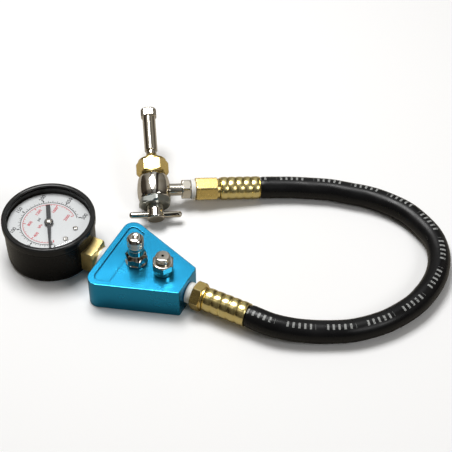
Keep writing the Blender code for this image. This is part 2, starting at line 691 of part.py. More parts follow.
def make_barrel(chuck, inlet):
    """The nickel barrel that joins the hose inlet, the tube and the spindle."""
    outline = [
        (BARREL_BORE, 13.5), (5.9, 13.5), (6.3, 13.0), (6.3, 8.6), (8.0, 8.6), (8.9, 6.6),
        (9.5, 2.8), (9.65, -1.0), (9.4, -4.4), (8.7, -6.3), (5.2, -6.3), (5.2, -1.0),
        (BARREL_BORE, -1.0),
    ]
    barrel = turned("chuck_body", outline, "nickel", chuck, 24, True)
    drill(barrel, "inlet_bore", 3.65, 5.9, 12, inlet, steps=16)
    drill(barrel, "inlet_drilling", 1.2, 2, 7, inlet, steps=10)


def make_gland(chuck):
    """The zinc gland nut under the barrel, and the spindle's seal above it."""
    corner = GLAND_FLATS / math.sqrt(3)
    outline = [
        (3.75, -2.7), (5.05, -2.7), (5.05, -6.6), (corner - 0.6, -6.6), (corner, -6.9),
        (corner, -9.2), (corner - 1.3, -10.2), (4.85, -10.2), (4.85, -7.1), (3.75, -7.1),
    ]
    gland = turned("gland_nut", outline, "zinc", chuck, 24, True)
    cut_hex(gland, GLAND_FLATS, -10.3, -6.5, chuck, GLAND_HEX_TURN)
    ring_seal("spindle_seal", 4.45, 0.5, -1.9, chuck)


def ring_seal(name, major, minor, height, parent):
    """A rubber ring of round section."""
    outline = [(major + x, height + y) for x, y in arc(minor, 0, -300, 5)]
    turned(name, outline, "rubber", parent, 20, True)


def make_spindle(chuck):
    """The threaded spindle, the cross bar through it, and the plunger that it pushes."""
    outline = [
        (0, 3.5), (3.0, 3.5), (3.6, 2.9), (3.6, -10.0), (4.7, -10.0), (4.7, -17.0),
        (5.15, -17.2), (5.15, -18.2), (4.8, -18.5), (0, -18.5),
    ]
    spindle = turned("spindle", outline, "nickel", chuck, 24)
    cross = along_x("cross_bar_axis", (0, 0, CROSS_BAR_Z), chuck)
    drill(spindle, "cross_hole", CROSS_BAR_RADIUS + SLIP, -8, 8, cross, steps=16)
    half = CROSS_BAR_LENGTH / 2
    end_arc = [(CROSS_BAR_RADIUS * math.sin(math.radians(angle)),
                half - CROSS_BAR_RADIUS * (1 - math.cos(math.radians(angle))))
               for angle in (0, 30, 60, 90)]
    outline = end_arc + [(radius, -height) for radius, height in reversed(end_arc)]
    turned("cross_bar", outline, "nickel", cross, 16)
    outline = [(0, 47.3), (0.8, 47.3), (1.0, 47.0), (1.0, 5.4), (3.3, 5.4), (3.3, 3.8), (0, 3.8)]
    turned("plunger", outline, "spring_steel", chuck, 12)


def make_valve_tube(chuck):
    """The swivelling tube: inner stem, outer tube with its mouth, two seals and the nut."""
    outline = [
        (1.5, 28.0), (2.2, 28.0), (2.2, 24.6), (3.0, 24.6), (3.0, 22.6), (2.5, 22.6), (2.5, 16.8),
        (4.9, 16.8), (4.9, 13.8), (3.7, 13.8), (3.7, 12.1), (2.6, 12.1), (2.6, 10.6), (3.7, 10.6),
        (3.7, 8.6), (1.5, 8.6),
    ]
    turned("valve_tube_stem", outline, "nickel", chuck, 16, True)
    outline = [
        (SOCKET_RADIUS, TUBE_MOUTH), (4.4, TUBE_MOUTH), (4.6, TUBE_MOUTH - 0.3), (4.6, 47.3),
        (4.4, 47.0), (TUBE_RADIUS, 47.0), (TUBE_RADIUS, 25.2), (3.4, 24.9), (2.35, 24.9),
        (2.35, 28.3), (1.5, 28.3), (1.5, SOCKET_FLOOR), (SOCKET_RADIUS, SOCKET_FLOOR),
    ]
    turned("valve_tube", outline, "nickel", chuck, 24, True)
    outline = [(1.35, 48.4), (3.7, 48.4), (3.7, SOCKET_FLOOR + 0.2), (1.35, SOCKET_FLOOR + 0.2)]
    turned("mouth_gasket", outline, "rubber", chuck, 16, True)
    ring_seal("tube_seal", 3.2, 0.45, 11.35, chuck)

    corner = TUBE_NUT_FLATS / math.sqrt(3)
    outline = [
        (2.65, 22.4), (3.3, 22.4), (3.7, 21.0), (5.4, 19.6), (8.2, 18.6), (8.3, 17.2),
        (corner, 16.8), (corner, 10.4), (8.3, 10.0), (8.2, 8.9), (6.45, 8.9), (6.45, 17.2),
        (2.65, 17.2),
    ]
    nut = turned("tube_nut", outline, "brass", chuck, 24, True)
    cut_hex(nut, TUBE_NUT_FLATS, 9.9, 17.3, chuck, TUBE_NUT_HEX_TURN)


# ---- the whole object -----------------------------------------------------------------------------

def direction(bearing, rise):
    """Unit vector from its bearing in the XY plane and its rise above it."""
    flat = math.cos(math.radians(rise))
    x, y = polar(flat, bearing)
    return Vector((x, y, math.sin(math.radians(rise))))


def chuck_rotation():
    """Rotation whose X axis runs along the inlet and whose Z axis points out of the mouth."""
    inlet_way = direction(INLET_BEARING, INLET_RISE)
    mouth_way = direction(CHUCK_BEARING, CHUCK_RISE)
    mouth_way = (mouth_way - inlet_way * mouth_way.dot(inlet_way)).normalized()
    return Matrix((inlet_way, mouth_way.cross(inlet_way), mouth_way)).transposed()


def main():
    """Build every piece in its frame."""
    turn = Matrix.Rotation(math.radians(BLOCK_TURN), 3, "Z")
    block_frame = add_frame("block_frame", (0, 0, 0), turn)
    half = BLOCK_LENGTH / 2
    gauge_port = along_x("gauge_port_frame", (-half, 0, PORT_HEIGHT), block_frame, True)
    hose_port = along_x("hose_port_frame", (half, 0, PORT_HEIGHT), block_frame)
    make_block(block_frame, gauge_port, hose_port)
    make_fill_valve(add_frame("fill_valve_axis", (FILL_VALVE_X, 0, 0), None, block_frame))
    make_bleed_valve(add_frame("bleed_valve_axis", (BLEED_VALVE_X, 0, 0), None, block_frame))

    make_nipple("hose_nipple_manifold", hose_port, (0.5 - HOSE_PORT_DEPTH, 5.0), (4.2, 9.6),
                (10.7, 34.0), MANIFOLD_HEX_FLATS, MANIFOLD_HEX_TURN)
    make_tape("hose_port_tape", hose_port, GAP, 3.9, HOSE_PORT_RADIUS, 6.1)
    make_hose_end("manifold", hose_port, (11.0, 36.2), 11.2)

    gauge = add_frame("gauge_frame", (GAUGE_X, 0, 0), None, block_frame)
    stem = along_x("stem_frame", (0, 0, PORT_HEIGHT), gauge)
    make_gauge_shell(gauge, stem)
    make_tape("gauge_port_tape", gauge_port, GAP, 3.7, STEM_THREAD_RADIUS + SLIP, 7.0)
    make_bourdon_tube(gauge)
    make_dial(gauge)
    make_pointer(gauge)
    make_movement(gauge)

    chuck = add_frame("chuck_frame", CHUCK_CENTRE, chuck_rotation())
    inlet = along_x("inlet_frame", (0, 0, 0), chuck)
    make_inlet(inlet)
    make_barrel(chuck, inlet)
    make_gland(chuck)
    make_spindle(chuck)
    make_valve_tube(chuck)
    make_hose(hose_port, inlet)


clear_scene()
PARTS = new_collection(OBJECT_NAME)
CUTTERS = new_collection("cutters")
main()
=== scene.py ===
"""The finished look of a shock charging gauge set.

A blue anodised manifold block joins a two inch pressure gauge to a rubber hose that ends in a
nickel chuck. Nearly every shape is a turned one, so most pieces come from one function that carries
a profile round an axis and lets a relief function press flats, flutes, threads or crimps into it.

Profiles and sizes are in millimetres along the piece's own axis. Places come from the frame.
"""
import json
import math

import bpy
import numpy as np
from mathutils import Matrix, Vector


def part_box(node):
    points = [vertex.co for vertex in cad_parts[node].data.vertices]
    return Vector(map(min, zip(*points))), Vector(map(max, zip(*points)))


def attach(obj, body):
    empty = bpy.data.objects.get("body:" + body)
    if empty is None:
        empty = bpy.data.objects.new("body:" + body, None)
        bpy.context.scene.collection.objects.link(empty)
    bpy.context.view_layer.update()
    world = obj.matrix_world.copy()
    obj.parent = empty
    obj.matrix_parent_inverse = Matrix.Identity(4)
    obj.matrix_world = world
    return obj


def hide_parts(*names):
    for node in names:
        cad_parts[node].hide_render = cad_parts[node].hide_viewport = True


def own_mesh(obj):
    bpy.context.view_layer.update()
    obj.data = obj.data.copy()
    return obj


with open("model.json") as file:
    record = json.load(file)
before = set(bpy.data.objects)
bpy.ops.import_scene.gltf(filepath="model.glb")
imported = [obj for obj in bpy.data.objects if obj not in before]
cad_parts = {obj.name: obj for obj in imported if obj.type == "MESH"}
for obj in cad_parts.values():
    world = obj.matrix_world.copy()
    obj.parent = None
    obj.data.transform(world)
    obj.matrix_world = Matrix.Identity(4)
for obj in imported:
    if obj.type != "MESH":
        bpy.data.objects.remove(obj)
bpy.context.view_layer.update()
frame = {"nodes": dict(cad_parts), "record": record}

MM = 0.001
ROUND = 96           # points round a turned piece, a multiple of six so that hexagons keep corners
BODY = "gauge_set"


# ---- places read from the frame -------------------------------------------------------------------

def middle(node):
    """The middle of a node's box, in metres."""
    low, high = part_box(node)
    return (np.array(low) + np.array(high)) / 2


def joint(name):
    """One joint of the record."""
    return next(entry for entry in frame["record"]["behaviour"]["joints"] if entry["name"] == name)


def unit(way):
    """A direction with length one."""
    return np.array(way) / np.linalg.norm(way)


class Axes:
    """An origin in metres with three square directions; a piece's Z is the axis that it turns on."""

    def __init__(self, origin, z, x):
        self.origin = np.array(origin, float)
        self.z = unit(z)
        self.x = unit(np.array(x) - self.z * np.dot(x, self.z))
        self.y = np.cross(self.z, self.x)

    def place(self, points):
        """Local millimetres to metres in the frame."""
        ways = np.stack([self.x, self.y, self.z])
        return self.origin + points @ ways * MM

    def along(self, distance):
        """A point on the Z axis."""
        return self.origin + self.z * distance * MM


UP = np.array([0.0, 0.0, 1.0])
GAUGE_CENTRE = middle("gauge_bezel") * (1, 1, 0)
BLOCK_WAY = unit(-GAUGE_CENTRE)
PORT_HEIGHT = middle("hose_port_tape")[2]
BLOCK_HALF = 25.25

BLOCK = Axes((0, 0, 0), UP, BLOCK_WAY)
GAUGE = Axes(GAUGE_CENTRE, UP, BLOCK_WAY)
STEM = Axes(GAUGE_CENTRE + UP * PORT_HEIGHT, BLOCK_WAY, -UP)
HOSE_PORT = Axes(BLOCK_WAY * BLOCK_HALF * MM + UP * PORT_HEIGHT, BLOCK_WAY, -UP)
GAUGE_PORT = Axes(-BLOCK_WAY * BLOCK_HALF * MM + UP * PORT_HEIGHT, -BLOCK_WAY, UP)
FILL_POST = Axes(middle("fill_valve_cap") * (1, 1, 0), UP, BLOCK_WAY)
BLEED_POST = Axes(middle("bleed_button") * (1, 1, 0), UP, BLOCK_WAY)

CHUCK_ORIGIN = joint("tube_swivel")["pos_m"]
CHUCK_WAY = unit(joint("tube_swivel")["axis"])
INLET_WAY = unit(middle("hose_tail_chuck") - CHUCK_ORIGIN)
CHUCK = Axes(CHUCK_ORIGIN, CHUCK_WAY, INLET_WAY)
INLET = Axes(CHUCK_ORIGIN, INLET_WAY, -CHUCK_WAY)


# ---- camera ---------------------------------------------------------------------------------------

def add_camera():
    """A long lens looking down at the set from the front."""
    camera = bpy.data.objects.new("camera", bpy.data.cameras.new("camera"))
    camera.location = (0.04325, -0.5255, 0.6186)
    look = Vector((0.04325, 0.04635, 0.0)) - camera.location
    camera.rotation_euler = look.to_track_quat("-Z", "Y").to_euler()
    camera.data.sensor_width = 36.0
    camera.data.lens = 116.28
    bpy.context.scene.collection.objects.link(camera)
    bpy.context.scene.camera = camera


# ---- mesh building --------------------------------------------------------------------------------

SHARP_ANGLE = math.radians(32)


def pour_mesh(name, points, corners, counts):
    """A mesh from its points, the point number of every face corner and each face's corner count."""
    starts = np.concatenate([[0], np.cumsum(counts)[:-1]])
    mesh = bpy.data.meshes.new(name)
    mesh.vertices.add(len(points))
    mesh.vertices.foreach_set("co", points.ravel())
    mesh.loops.add(len(corners))
    mesh.loops.foreach_set("vertex_index", corners.astype(np.int32))
    mesh.polygons.add(len(counts))
    mesh.polygons.foreach_set("loop_start", starts.astype(np.int32))
    mesh.update(calc_edges=True)
    return mesh


def read_points(mesh):
    """A mesh's points, one row a point."""
    points = np.empty(len(mesh.vertices) * 3)
    mesh.vertices.foreach_get("co", points)
    return points.reshape(-1, 3)


def show(name, mesh):
    """Put a mesh in the scene as an object, unturned at the origin."""
    obj = bpy.data.objects.new(name, mesh)
    bpy.context.scene.collection.objects.link(obj)
    return obj


def round_off(mesh):
    """Shade a mesh smooth, except across edges that turn by more than SHARP_ANGLE."""
    mesh.shade_smooth()
    mesh.set_sharp_from_angle(angle=SHARP_ANGLE)


def build_mesh(name, points, faces, edge, places):
    """A mesh object from metres in the frame, with its outside facing out.

    faces is a list of integer arrays, one row a face. edge is a wear value for each point, negative
    where shade is painted in bores and corners, and places holds, for each face corner, its place on
    the surface in millimetres.
    """
    counts = np.concatenate([np.full(len(block), block.shape[1]) for block in faces])
    volume = 0.0
    for block in faces:
        for third in range(1, block.shape[1] - 1):
            corners = points[block[:, 0]], points[block[:, third]], points[block[:, third + 1]]
            volume += np.einsum("ij,ij->", corners[0], np.cross(corners[1], corners[2]))
    if volume < 0:
        faces = [block[:, ::-1] for block in faces]
        places = [block[:, ::-1] for block in places]
    corners = np.concatenate([block.ravel() for block in faces])
    flat = np.concatenate([block.reshape(-1, 2) for block in places])
    mesh = pour_mesh(name, points, corners, counts)
    wear_and_shade = mesh.attributes.new("edge", "FLOAT", "POINT")
    wear_and_shade.data.foreach_set("value", edge.astype(float))
    layer = mesh.uv_layers.new(name="surface")
    layer.data.foreach_set("uv", flat.ravel())
    round_off(mesh)
    return show(name, mesh)


def grid_piece(name, grid, edge=None, uv=None, wrap=True):
    """A surface from a grid of points: rows run along the profile, columns run round it.

    The columns always close into a loop. The rows close too when wrap is set; otherwise each end
    row is drawn together in one point at its middle, which closes the body.
    """
    rows, columns = grid.shape[:2]
    points = grid.reshape(-1, 3)
    wear_and_shade = np.zeros(rows * columns) if edge is None else edge.ravel()
    flat = np.zeros((rows * columns, 2)) if uv is None else uv.reshape(-1, 2)
    index = np.arange(rows * columns).reshape(rows, columns)
    upper = index if wrap else index[:-1]
    lower = np.roll(index, -1, axis=0) if wrap else index[1:]
    quads = np.stack([upper, np.roll(upper, -1, 1), np.roll(lower, -1, 1), lower], -1)
    corner_places = flat[quads]
    period = (flat[1, 0] - flat[0, 0]) * columns
    corner_places[:, -1, 1:3, 0] += period
    faces = [quads.reshape(-1, 4)]
    places = [corner_places.reshape(-1, 4, 2)]
    if not wrap:
        for row, flip in ((0, True), (-1, False)):
            hub = len(points)
            points = np.vstack([points, grid[row].mean(axis=0)])
            wear_and_shade = np.append(wear_and_shade, wear_and_shade[index[row][0]])
            flat = np.vstack([flat, flat[index[row][0]]])
            ring = index[row]
            fan = np.stack([ring, np.roll(ring, -1), np.full(columns, hub)], -1)
            faces.append(fan[:, ::-1] if flip else fan)
            places.append(flat[faces[-1]])
    return build_mesh(name, points, faces, wear_and_shade, places)


def fillet(corners, steps=4):
    """Round the corners of a profile and mark them as worn.

    Each corner is (radius, height) or (radius, height, rounding). A rounded corner becomes a
    parabola through two points at that distance along its sides. Returns radius, height and wear.
    """
    spread = [(corner if len(corner) == 3 else (*corner, 0.0)) for corner in corners]
    radii, heights, worn = [], [], []
    for index, (radius, height, rounding) in enumerate(spread):
        here = np.array([radius, height])
        if rounding == 0.0:
            radii.append(radius)
            heights.append(height)
            worn.append(0.0)
            continue
        before = np.array(spread[index - 1][:2])
        after = np.array(spread[(index + 1) % len(spread)][:2])
        start = here + unit(before - here) * rounding
        end = here + unit(after - here) * rounding
        share = np.linspace(0, 1, steps)[:, None]
        curve = (1 - share) ** 2 * start + 2 * share * (1 - share) * here + share ** 2 * end
        radii.extend(curve[:, 0])
        heights.extend(curve[:, 1])
        worn.extend(np.sin(np.pi * np.linspace(0.1, 0.9, steps)))
    return np.array(radii), np.array(heights), np.array(worn)


def refine(profile, step, low, high):
    """Add points to a profile where it runs between two heights, no further apart than step."""
    radii, heights, worn = profile
    fine = [[], [], []]
    for index in range(len(radii)):
        after = (index + 1) % len(radii)
        inside = min(heights[index], heights[after]) < high and max(heights[index],
                                                                     heights[after]) > low
        length = abs(heights[after] - heights[index])
        count = max(1, math.ceil(length / step)) if inside and after else 1
        share = np.arange(count) / count
        for target, source in zip(fine, (radii, heights, worn)):
            target.extend(source[index] + (source[after] - source[index]) * share)
    return tuple(np.array(part) for part in fine)


def turned(name, profile, axes, relief=(), ring=False, around=ROUND, turn=0.0):
    """Carry a profile round the Z axis: point = (r cos t, r sin t, z), r and z bent by reliefs."""
    radii, heights, worn = profile
    angle = np.radians(turn) + np.linspace(0, 2 * np.pi, around, endpoint=False)[None, :]
    radius = np.repeat(radii[:, None], around, 1)
    height = np.repeat(heights[:, None], around, 1)
    edge = np.repeat(worn[:, None], around, 1)
    for press in relief:
        radius, height, edge = press(radius, height, edge, angle)
    local = np.stack([radius * np.cos(angle), radius * np.sin(angle), height], -1)
    run = np.concatenate([[0], np.cumsum(np.hypot(np.diff(radii), np.diff(heights)))])
    uv = np.stack([np.repeat(angle, len(radii), 0) * max(radii.max(), 0.1),
                   np.repeat(run[:, None], around, 1)], -1)
    return grid_piece(name, axes.place(local), edge, uv, wrap=ring)


def hexagon(flats, low, high, turn, sides=6, softness=0.12):
    """Relief: between two heights the radius is no more than the distance to the nearest flat.

    The flat's distance at an angle t from its middle is half the flats divided by cos t, and the
    corner is trimmed by softness. Points near a corner are marked as worn.
    """
    half_pitch = math.pi / sides

    def press(radius, height, edge, angle):
        away = (angle - math.radians(turn)) % (2 * half_pitch) - half_pitch
        limit = np.minimum(flats / 2 / np.cos(away), flats / 2 / math.cos(half_pitch) - softness)
        inside = (height > low - 1e-6) & (height < high + 1e-6)
        corner = np.clip((np.abs(away) / half_pitch - 0.9) * 10, 0, 1)
        touching = inside & (radius > limit - softness)
        edge = np.where(touching, np.maximum(edge * 0.6, corner), edge)
        return np.where(inside, np.minimum(radius, limit), radius), height, edge

    return press


def thread(low, high, pitch, depth):
    """Relief: a screw thread, a triangle wave that climbs one pitch a turn and fades at its ends."""
    def press(radius, height, edge, angle):
        phase = height / pitch - angle / (2 * np.pi)
        wave = np.abs((phase % 1.0) * 2 - 1)
        fade = np.clip((height - low) / pitch, 0, 1) * np.clip((high - height) / pitch, 0, 1)
        return radius - depth * wave * fade, height, np.maximum(edge, (1 - wave) * fade * 0.6)

    return press


def flutes(count, low, high, depth):
    """Relief: straight knurling, a cosine of the angle that fades near both ends of the band."""
    def press(radius, height, edge, angle):
        fade = np.clip((height - low) / 0.25, 0, 1) * np.clip((high - height) / 0.25, 0, 1)
        wave = 0.5 + 0.5 * np.cos(count * angle)
        return radius - depth * (1 - wave) * fade, height, np.maximum(edge, wave * fade * 0.5)

    return press


def diamonds(count, low, high, pitch, depth):
    """Relief: diamond knurling, the greater of two cosines that climb opposite ways, squared."""
    def press(radius, height, edge, angle):
        fade = np.clip((height - low) / 0.3, 0, 1) * np.clip((high - height) / 0.3, 0, 1)
        climb = height / pitch * 2 * np.pi
        groove = np.maximum(np.cos(count * angle + climb), np.cos(count * angle - climb))
        cut = np.clip(groove, 0, 1) ** 2
        return radius - depth * cut * fade, height, np.maximum(edge, (1 - cut) * fade * 0.4)

    return press


def soiled(reach, low, high):
    """Relief: painted shade in a bore, a wear value of minus one for points within a radius and two
    heights.
    """
    def press(radius, height, edge, angle):
        inside = (radius < reach) & (height > low) & (height < high)
        return radius, height, np.where(inside, -1.0, edge)

    return press


def slot(width, top, depth, turn):
    """Relief: a screwdriver slot, where points near one diameter are lowered."""
    def press(radius, height, edge, angle):
        across = np.abs(radius * np.sin(angle - math.radians(turn)))
        inside = (across < width / 2) & (height > top - depth)
        return radius, np.where(inside, top - depth, height), edge

    return press


def band(name, stations, axes):
    """A bar of oblong section along a path.

    Each station is (centre, side, half width, low, high): the section is the rectangle that
    reaches half width to both sides of the centre, between two heights.
    """
    centre = np.array([station[0] for station in stations])
    side = np.array([station[1] for station in stations])
    half = np.array([station[2] for station in stations])[:, None]
    low = np.array([station[3] for station in stations])
    high = np.array([station[4] for station in stations])
    left = centre + side * half
    right = centre - side * half
    corners = [np.column_stack([left, low]), np.column_stack([right, low]),
               np.column_stack([right, high]), np.column_stack([left, high])]
    return grid_piece(name, axes.place(np.stack(corners, 1)), wrap=False)


def join(name, pieces):
    """Draw several printed pieces together into one mesh: only their points and faces are kept."""
    points, corners, counts, offset = [], [], [], 0
    for piece in pieces:
        mesh = piece.data
        points.append(read_points(mesh))
        corner = np.empty(len(mesh.loops), np.int32)
        mesh.loops.foreach_get("vertex_index", corner)
        corners.append(corner + offset)
        count = np.empty(len(mesh.polygons), np.int32)
        mesh.polygons.foreach_get("loop_total", count)
        counts.append(count)
        offset += len(mesh.vertices)
        bpy.data.objects.remove(piece, do_unlink=True)
        bpy.data.meshes.remove(mesh)
    mesh = pour_mesh(name, np.vstack(points), np.concatenate(corners), np.concatenate(counts))
    round_off(mesh)
    return show(name, mesh)


def finish_piece(obj, material, slot_name, body, *nodes):
    """Give a piece its material, the body it rides on and the nodes that it stands for."""
    obj.data.materials.clear()
    obj.data.materials.append(material)
    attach(obj, body)
    if nodes:
        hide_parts(*nodes)
    return obj


# ---- shader node groups ---------------------------------------------------------------------------

def new_group(name, inputs, outputs):
    """An empty shader group with named float sockets; inputs carry their defaults."""
    group = bpy.data.node_groups.new(name, "ShaderNodeTree")
    for label, value in inputs:
        kind = "NodeSocketVector" if value is None else "NodeSocketFloat"
        socket = group.interface.new_socket(name=label, in_out="INPUT", socket_type=kind)
        if value is not None:
            socket.default_value = value
    for label in outputs:
        group.interface.new_socket(name=label, in_out="OUTPUT", socket_type="NodeSocketFloat")
    start = group.nodes.new("NodeGroupInput")
    end = group.nodes.new("NodeGroupOutput")
    return group, start, end


def math_node(tree, operation, first, second=None, third=None):
    """A math node whose inputs are sockets or numbers."""
    node = tree.nodes.new("ShaderNodeMath")
    node.operation = operation
    for place, value in enumerate((first, second, third)):
        if value is None:
            continue
        if isinstance(value, (int, float)):
            node.inputs[place].default_value = value
        else:
            tree.links.new(value, node.inputs[place])
    return node.outputs[0]


def noise_node(tree, vector, scale, detail=3.0, roughness=0.55):
    """A noise texture's value, read at a vector scaled by a number or a socket."""
    node = tree.nodes.new("ShaderNodeTexNoise")
    node.inputs["Detail"].default_value = detail
    node.inputs["Roughness"].default_value = roughness
    tree.links.new(vector, node.inputs["Vector"])
    if isinstance(scale, (int, float)):
        node.inputs["Scale"].default_value = scale
    else:
        tree.links.new(scale, node.inputs["Scale"])
    return node.outputs["Fac"]


def make_mottle_group():
    """Slow stains and fine speckle: Shade multiplies a colour, Rough adds to a roughness."""
    group, start, end = new_group(
        "mottle", [("Vector", None), ("Scale", 120.0), ("Depth", 0.15)], ["Shade", "Rough", "Grain"])
    slow = noise_node(group, start.outputs["Vector"], start.outputs["Scale"], 4.0)
    quick_scale = math_node(group, "MULTIPLY", start.outputs["Scale"], 14.0)
    quick = noise_node(group, start.outputs["Vector"], quick_scale, 2.0)
    centred = math_node(group, "SUBTRACT", slow, 0.5)
    shade = math_node(group, "MULTIPLY_ADD", centred, start.outputs["Depth"], 1.0)
    speck = math_node(group, "SUBTRACT", quick, 0.5)
    deep = math_node(group, "MULTIPLY", speck, start.outputs["Depth"])
    group.links.new(math_node(group, "MULTIPLY_ADD", deep, 0.5, shade), end.inputs["Shade"])
    group.links.new(math_node(group, "MULTIPLY", centred, start.outputs["Depth"]),
                    end.inputs["Rough"])
    group.links.new(quick, end.inputs["Grain"])
    return group


def make_tool_mark_group():
    """Lathe marks: noise that changes along the profile only, so it draws rings."""
    group, start, end = new_group("tool_marks", [("Along", 0.0), ("Fineness", 9.0)],
                                  ["Height", "Glint"])
    stretched = math_node(group, "MULTIPLY", start.outputs["Along"], start.outputs["Fineness"])
    joined = group.nodes.new("ShaderNodeCombineXYZ")
    group.links.new(stretched, joined.inputs["X"])
    rings = noise_node(group, joined.outputs[0], 1.0, 3.0, 0.7)
    group.links.new(rings, end.inputs["Height"])
    group.links.new(math_node(group, "SUBTRACT", rings, 0.5), end.inputs["Glint"])
    return group


class Paint:
    """A material under construction: its tree, its Principled shader and the inputs it reads."""

    def __init__(self, name):
        self.material = bpy.data.materials.new(name)
        self.material.use_nodes = True
        self.tree = self.material.node_tree
        self.shader = self.tree.nodes["Principled BSDF"]
        self.place = self.tree.nodes.new("ShaderNodeTexCoord").outputs["Object"]
        uv = self.tree.nodes.new("ShaderNodeUVMap")
        uv.uv_map = "surface"
        split = self.tree.nodes.new("ShaderNodeSeparateXYZ")
        self.tree.links.new(uv.outputs["UV"], split.inputs[0])
        self.round = split.outputs["X"]
        self.along = split.outputs["Y"]
        # The edge attribute holds wear, and negative values where shade is painted.
        worn = self.tree.nodes.new("ShaderNodeAttribute")
        worn.attribute_name = "edge"
        self.edge = worn.outputs["Fac"]

    def group(self, tree, **values):
        """Place a node group, with each input set to a number or fed by a socket."""
        node = self.tree.nodes.new("ShaderNodeGroup")
        node.node_tree = tree
        for label, value in values.items():
            if isinstance(value, (int, float)):
                node.inputs[label].default_value = value
            else:
                self.tree.links.new(value, node.inputs[label])
        return node.outputs

    def blend(self, share, first, second):
        """Mix two colours by a socket."""
        mix = self.tree.nodes.new("ShaderNodeMix")
        mix.data_type = "RGBA"
        self.tree.links.new(share, mix.inputs["Factor"])
        for place, colour in ((6, first), (7, second)):
            if isinstance(colour, tuple):
                mix.inputs[place].default_value = (*colour, 1.0)
            else:
                self.tree.links.new(colour, mix.inputs[place])
        return mix.outputs[2]

    def scale_colour(self, colour, shade):
        """Multiply a colour by a socket."""
        node = self.tree.nodes.new("ShaderNodeVectorMath")
        node.operation = "SCALE"
        if isinstance(colour, tuple):
            node.inputs[0].default_value = colour
        else:
            self.tree.links.new(colour, node.inputs[0])
        self.tree.links.new(shade, node.inputs["Scale"])
        return node.outputs[0]

    def set(self, **values):
        """Set the shader's plain values."""
        for label, value in values.items():
            self.shader.inputs[label.replace("_", " ")].default_value = value

    def feed(self, label, socket):
        """Link a socket into the shader."""
        self.tree.links.new(socket, self.shader.inputs[label])

    def bump(self, height, strength, distance=0.00004):
        """Press a height into the shader's normal."""
        node = self.tree.nodes.new("ShaderNodeBump")
        node.inputs["Strength"].default_value = strength
        node.inputs["Distance"].default_value = distance
        self.tree.links.new(height, node.inputs["Height"])
        self.feed("Normal", node.outputs[0])


# A near black painted into bores as shade.
PAINTED_BORE_SHADE = (0.012, 0.010, 0.008)
WORN_SHARE = 0.7          # how much of the worn colour shows on a metal's sharpest edge
BORE_SHADE_SHARE = 0.95       # how much of a bore's colour is painted shade
RING_FINENESS = 9.0       # lathe marks, in rings a millimetre
STAIN_SCALE = 150.0

BLUE_DYE = (0.020, 0.33, 0.60)
WORN_DYE = (0.10, 0.46, 0.70)
# A dark blue painted into the pocket's foot as shade.
PAINTED_CORNER_SHADE = (0.004, 0.05, 0.10)

LAYLINE_PLACE = 8.4       # the middle of the row of bars, in millimetres round the hose
LAYLINE_WIDTH = 3.2
BAR_PITCH = 3.1
BAR_SHARE = 0.38
ROW_PITCH = 21.7
ROW_SHARE = 0.72
WEAVE_PITCH = 1.4
HOSE_BLACK = (0.006, 0.006, 0.0065)
BAR_WHITE = (0.42, 0.43, 0.42)


def metal(name, colour, worn_colour, roughness, marks, depth=0.15):
    """A turned and plated metal: lathe marks, faint stains, brighter worn edges, painted shade in
    bores.
    """
    paint = Paint(name)
    stain = paint.group(MOTTLE, Vector=paint.place, Scale=STAIN_SCALE, Depth=depth)
    rings = paint.group(TOOL_MARKS, Along=paint.along, Fineness=RING_FINENESS)
    paint.set(Metallic=1.0)
    worn = math_node(paint.tree, "MULTIPLY", paint.edge, WORN_SHARE)
    # Painted shade: where the wear value is negative, in bores, the colour turns near black.
    bore_shade = math_node(paint.tree, "MULTIPLY", paint.edge, -BORE_SHADE_SHARE)
    mixed = paint.blend(bore_shade, paint.blend(worn, colour, worn_colour), PAINTED_BORE_SHADE)
    paint.feed("Base Color", paint.scale_colour(mixed, stain["Shade"]))
    wavy = math_node(paint.tree, "MULTIPLY_ADD", rings["Glint"], 0.12 * marks, roughness)
    paint.feed("Roughness", math_node(paint.tree, "ADD", wavy, stain["Rough"]))
    paint.bump(rings["Height"], 0.25 * marks)
    return paint.material


def coating(name, colour, worn_colour, roughness, depth, grain, gloss=0.5, scale=120.0):
    """A paint or plastic: faint stains, a fine grain and slightly worn edges."""
    paint = Paint(name)
    stain = paint.group(MOTTLE, Vector=paint.place, Scale=scale, Depth=depth)
    mixed = paint.blend(math_node(paint.tree, "MULTIPLY", paint.edge, 0.5), colour, worn_colour)
    paint.set(Metallic=0.0, Specular_IOR_Level=gloss)
    paint.feed("Base Color", paint.scale_colour(mixed, stain["Shade"]))
    paint.feed("Roughness", math_node(paint.tree, "ADD", stain["Rough"], roughness))
    paint.bump(stain["Grain"], grain)
    return paint.material


def anodised(name):
    """Dyed anodised aluminium: fine blasted grain, paler edges, and painted shade in corners where the
    wear value is negative.
    """
    paint = Paint(name)
    stain = paint.group(MOTTLE, Vector=paint.place, Scale=60.0, Depth=0.12)
    fine = noise_node(paint.tree, paint.place, 9000.0, 2.0)
    paint.set(Metallic=0.92)
    mixed = paint.blend(math_node(paint.tree, "MULTIPLY", paint.edge, 0.45),
                        BLUE_DYE, WORN_DYE)
    # Painted shade: where the wear value is negative, at the pocket's foot, the colour turns to a dark
    # blue.
    painted_corner_shade = math_node(paint.tree, "MULTIPLY", paint.edge, -0.85)
    mixed = paint.blend(painted_corner_shade, mixed, PAINTED_CORNER_SHADE)
    paint.feed("Base Color", paint.scale_colour(mixed, stain["Shade"]))
    paint.feed("Roughness", math_node(paint.tree, "ADD", stain["Rough"], 0.26))
    paint.bump(fine, 0.12, 0.00002)
    return paint.material


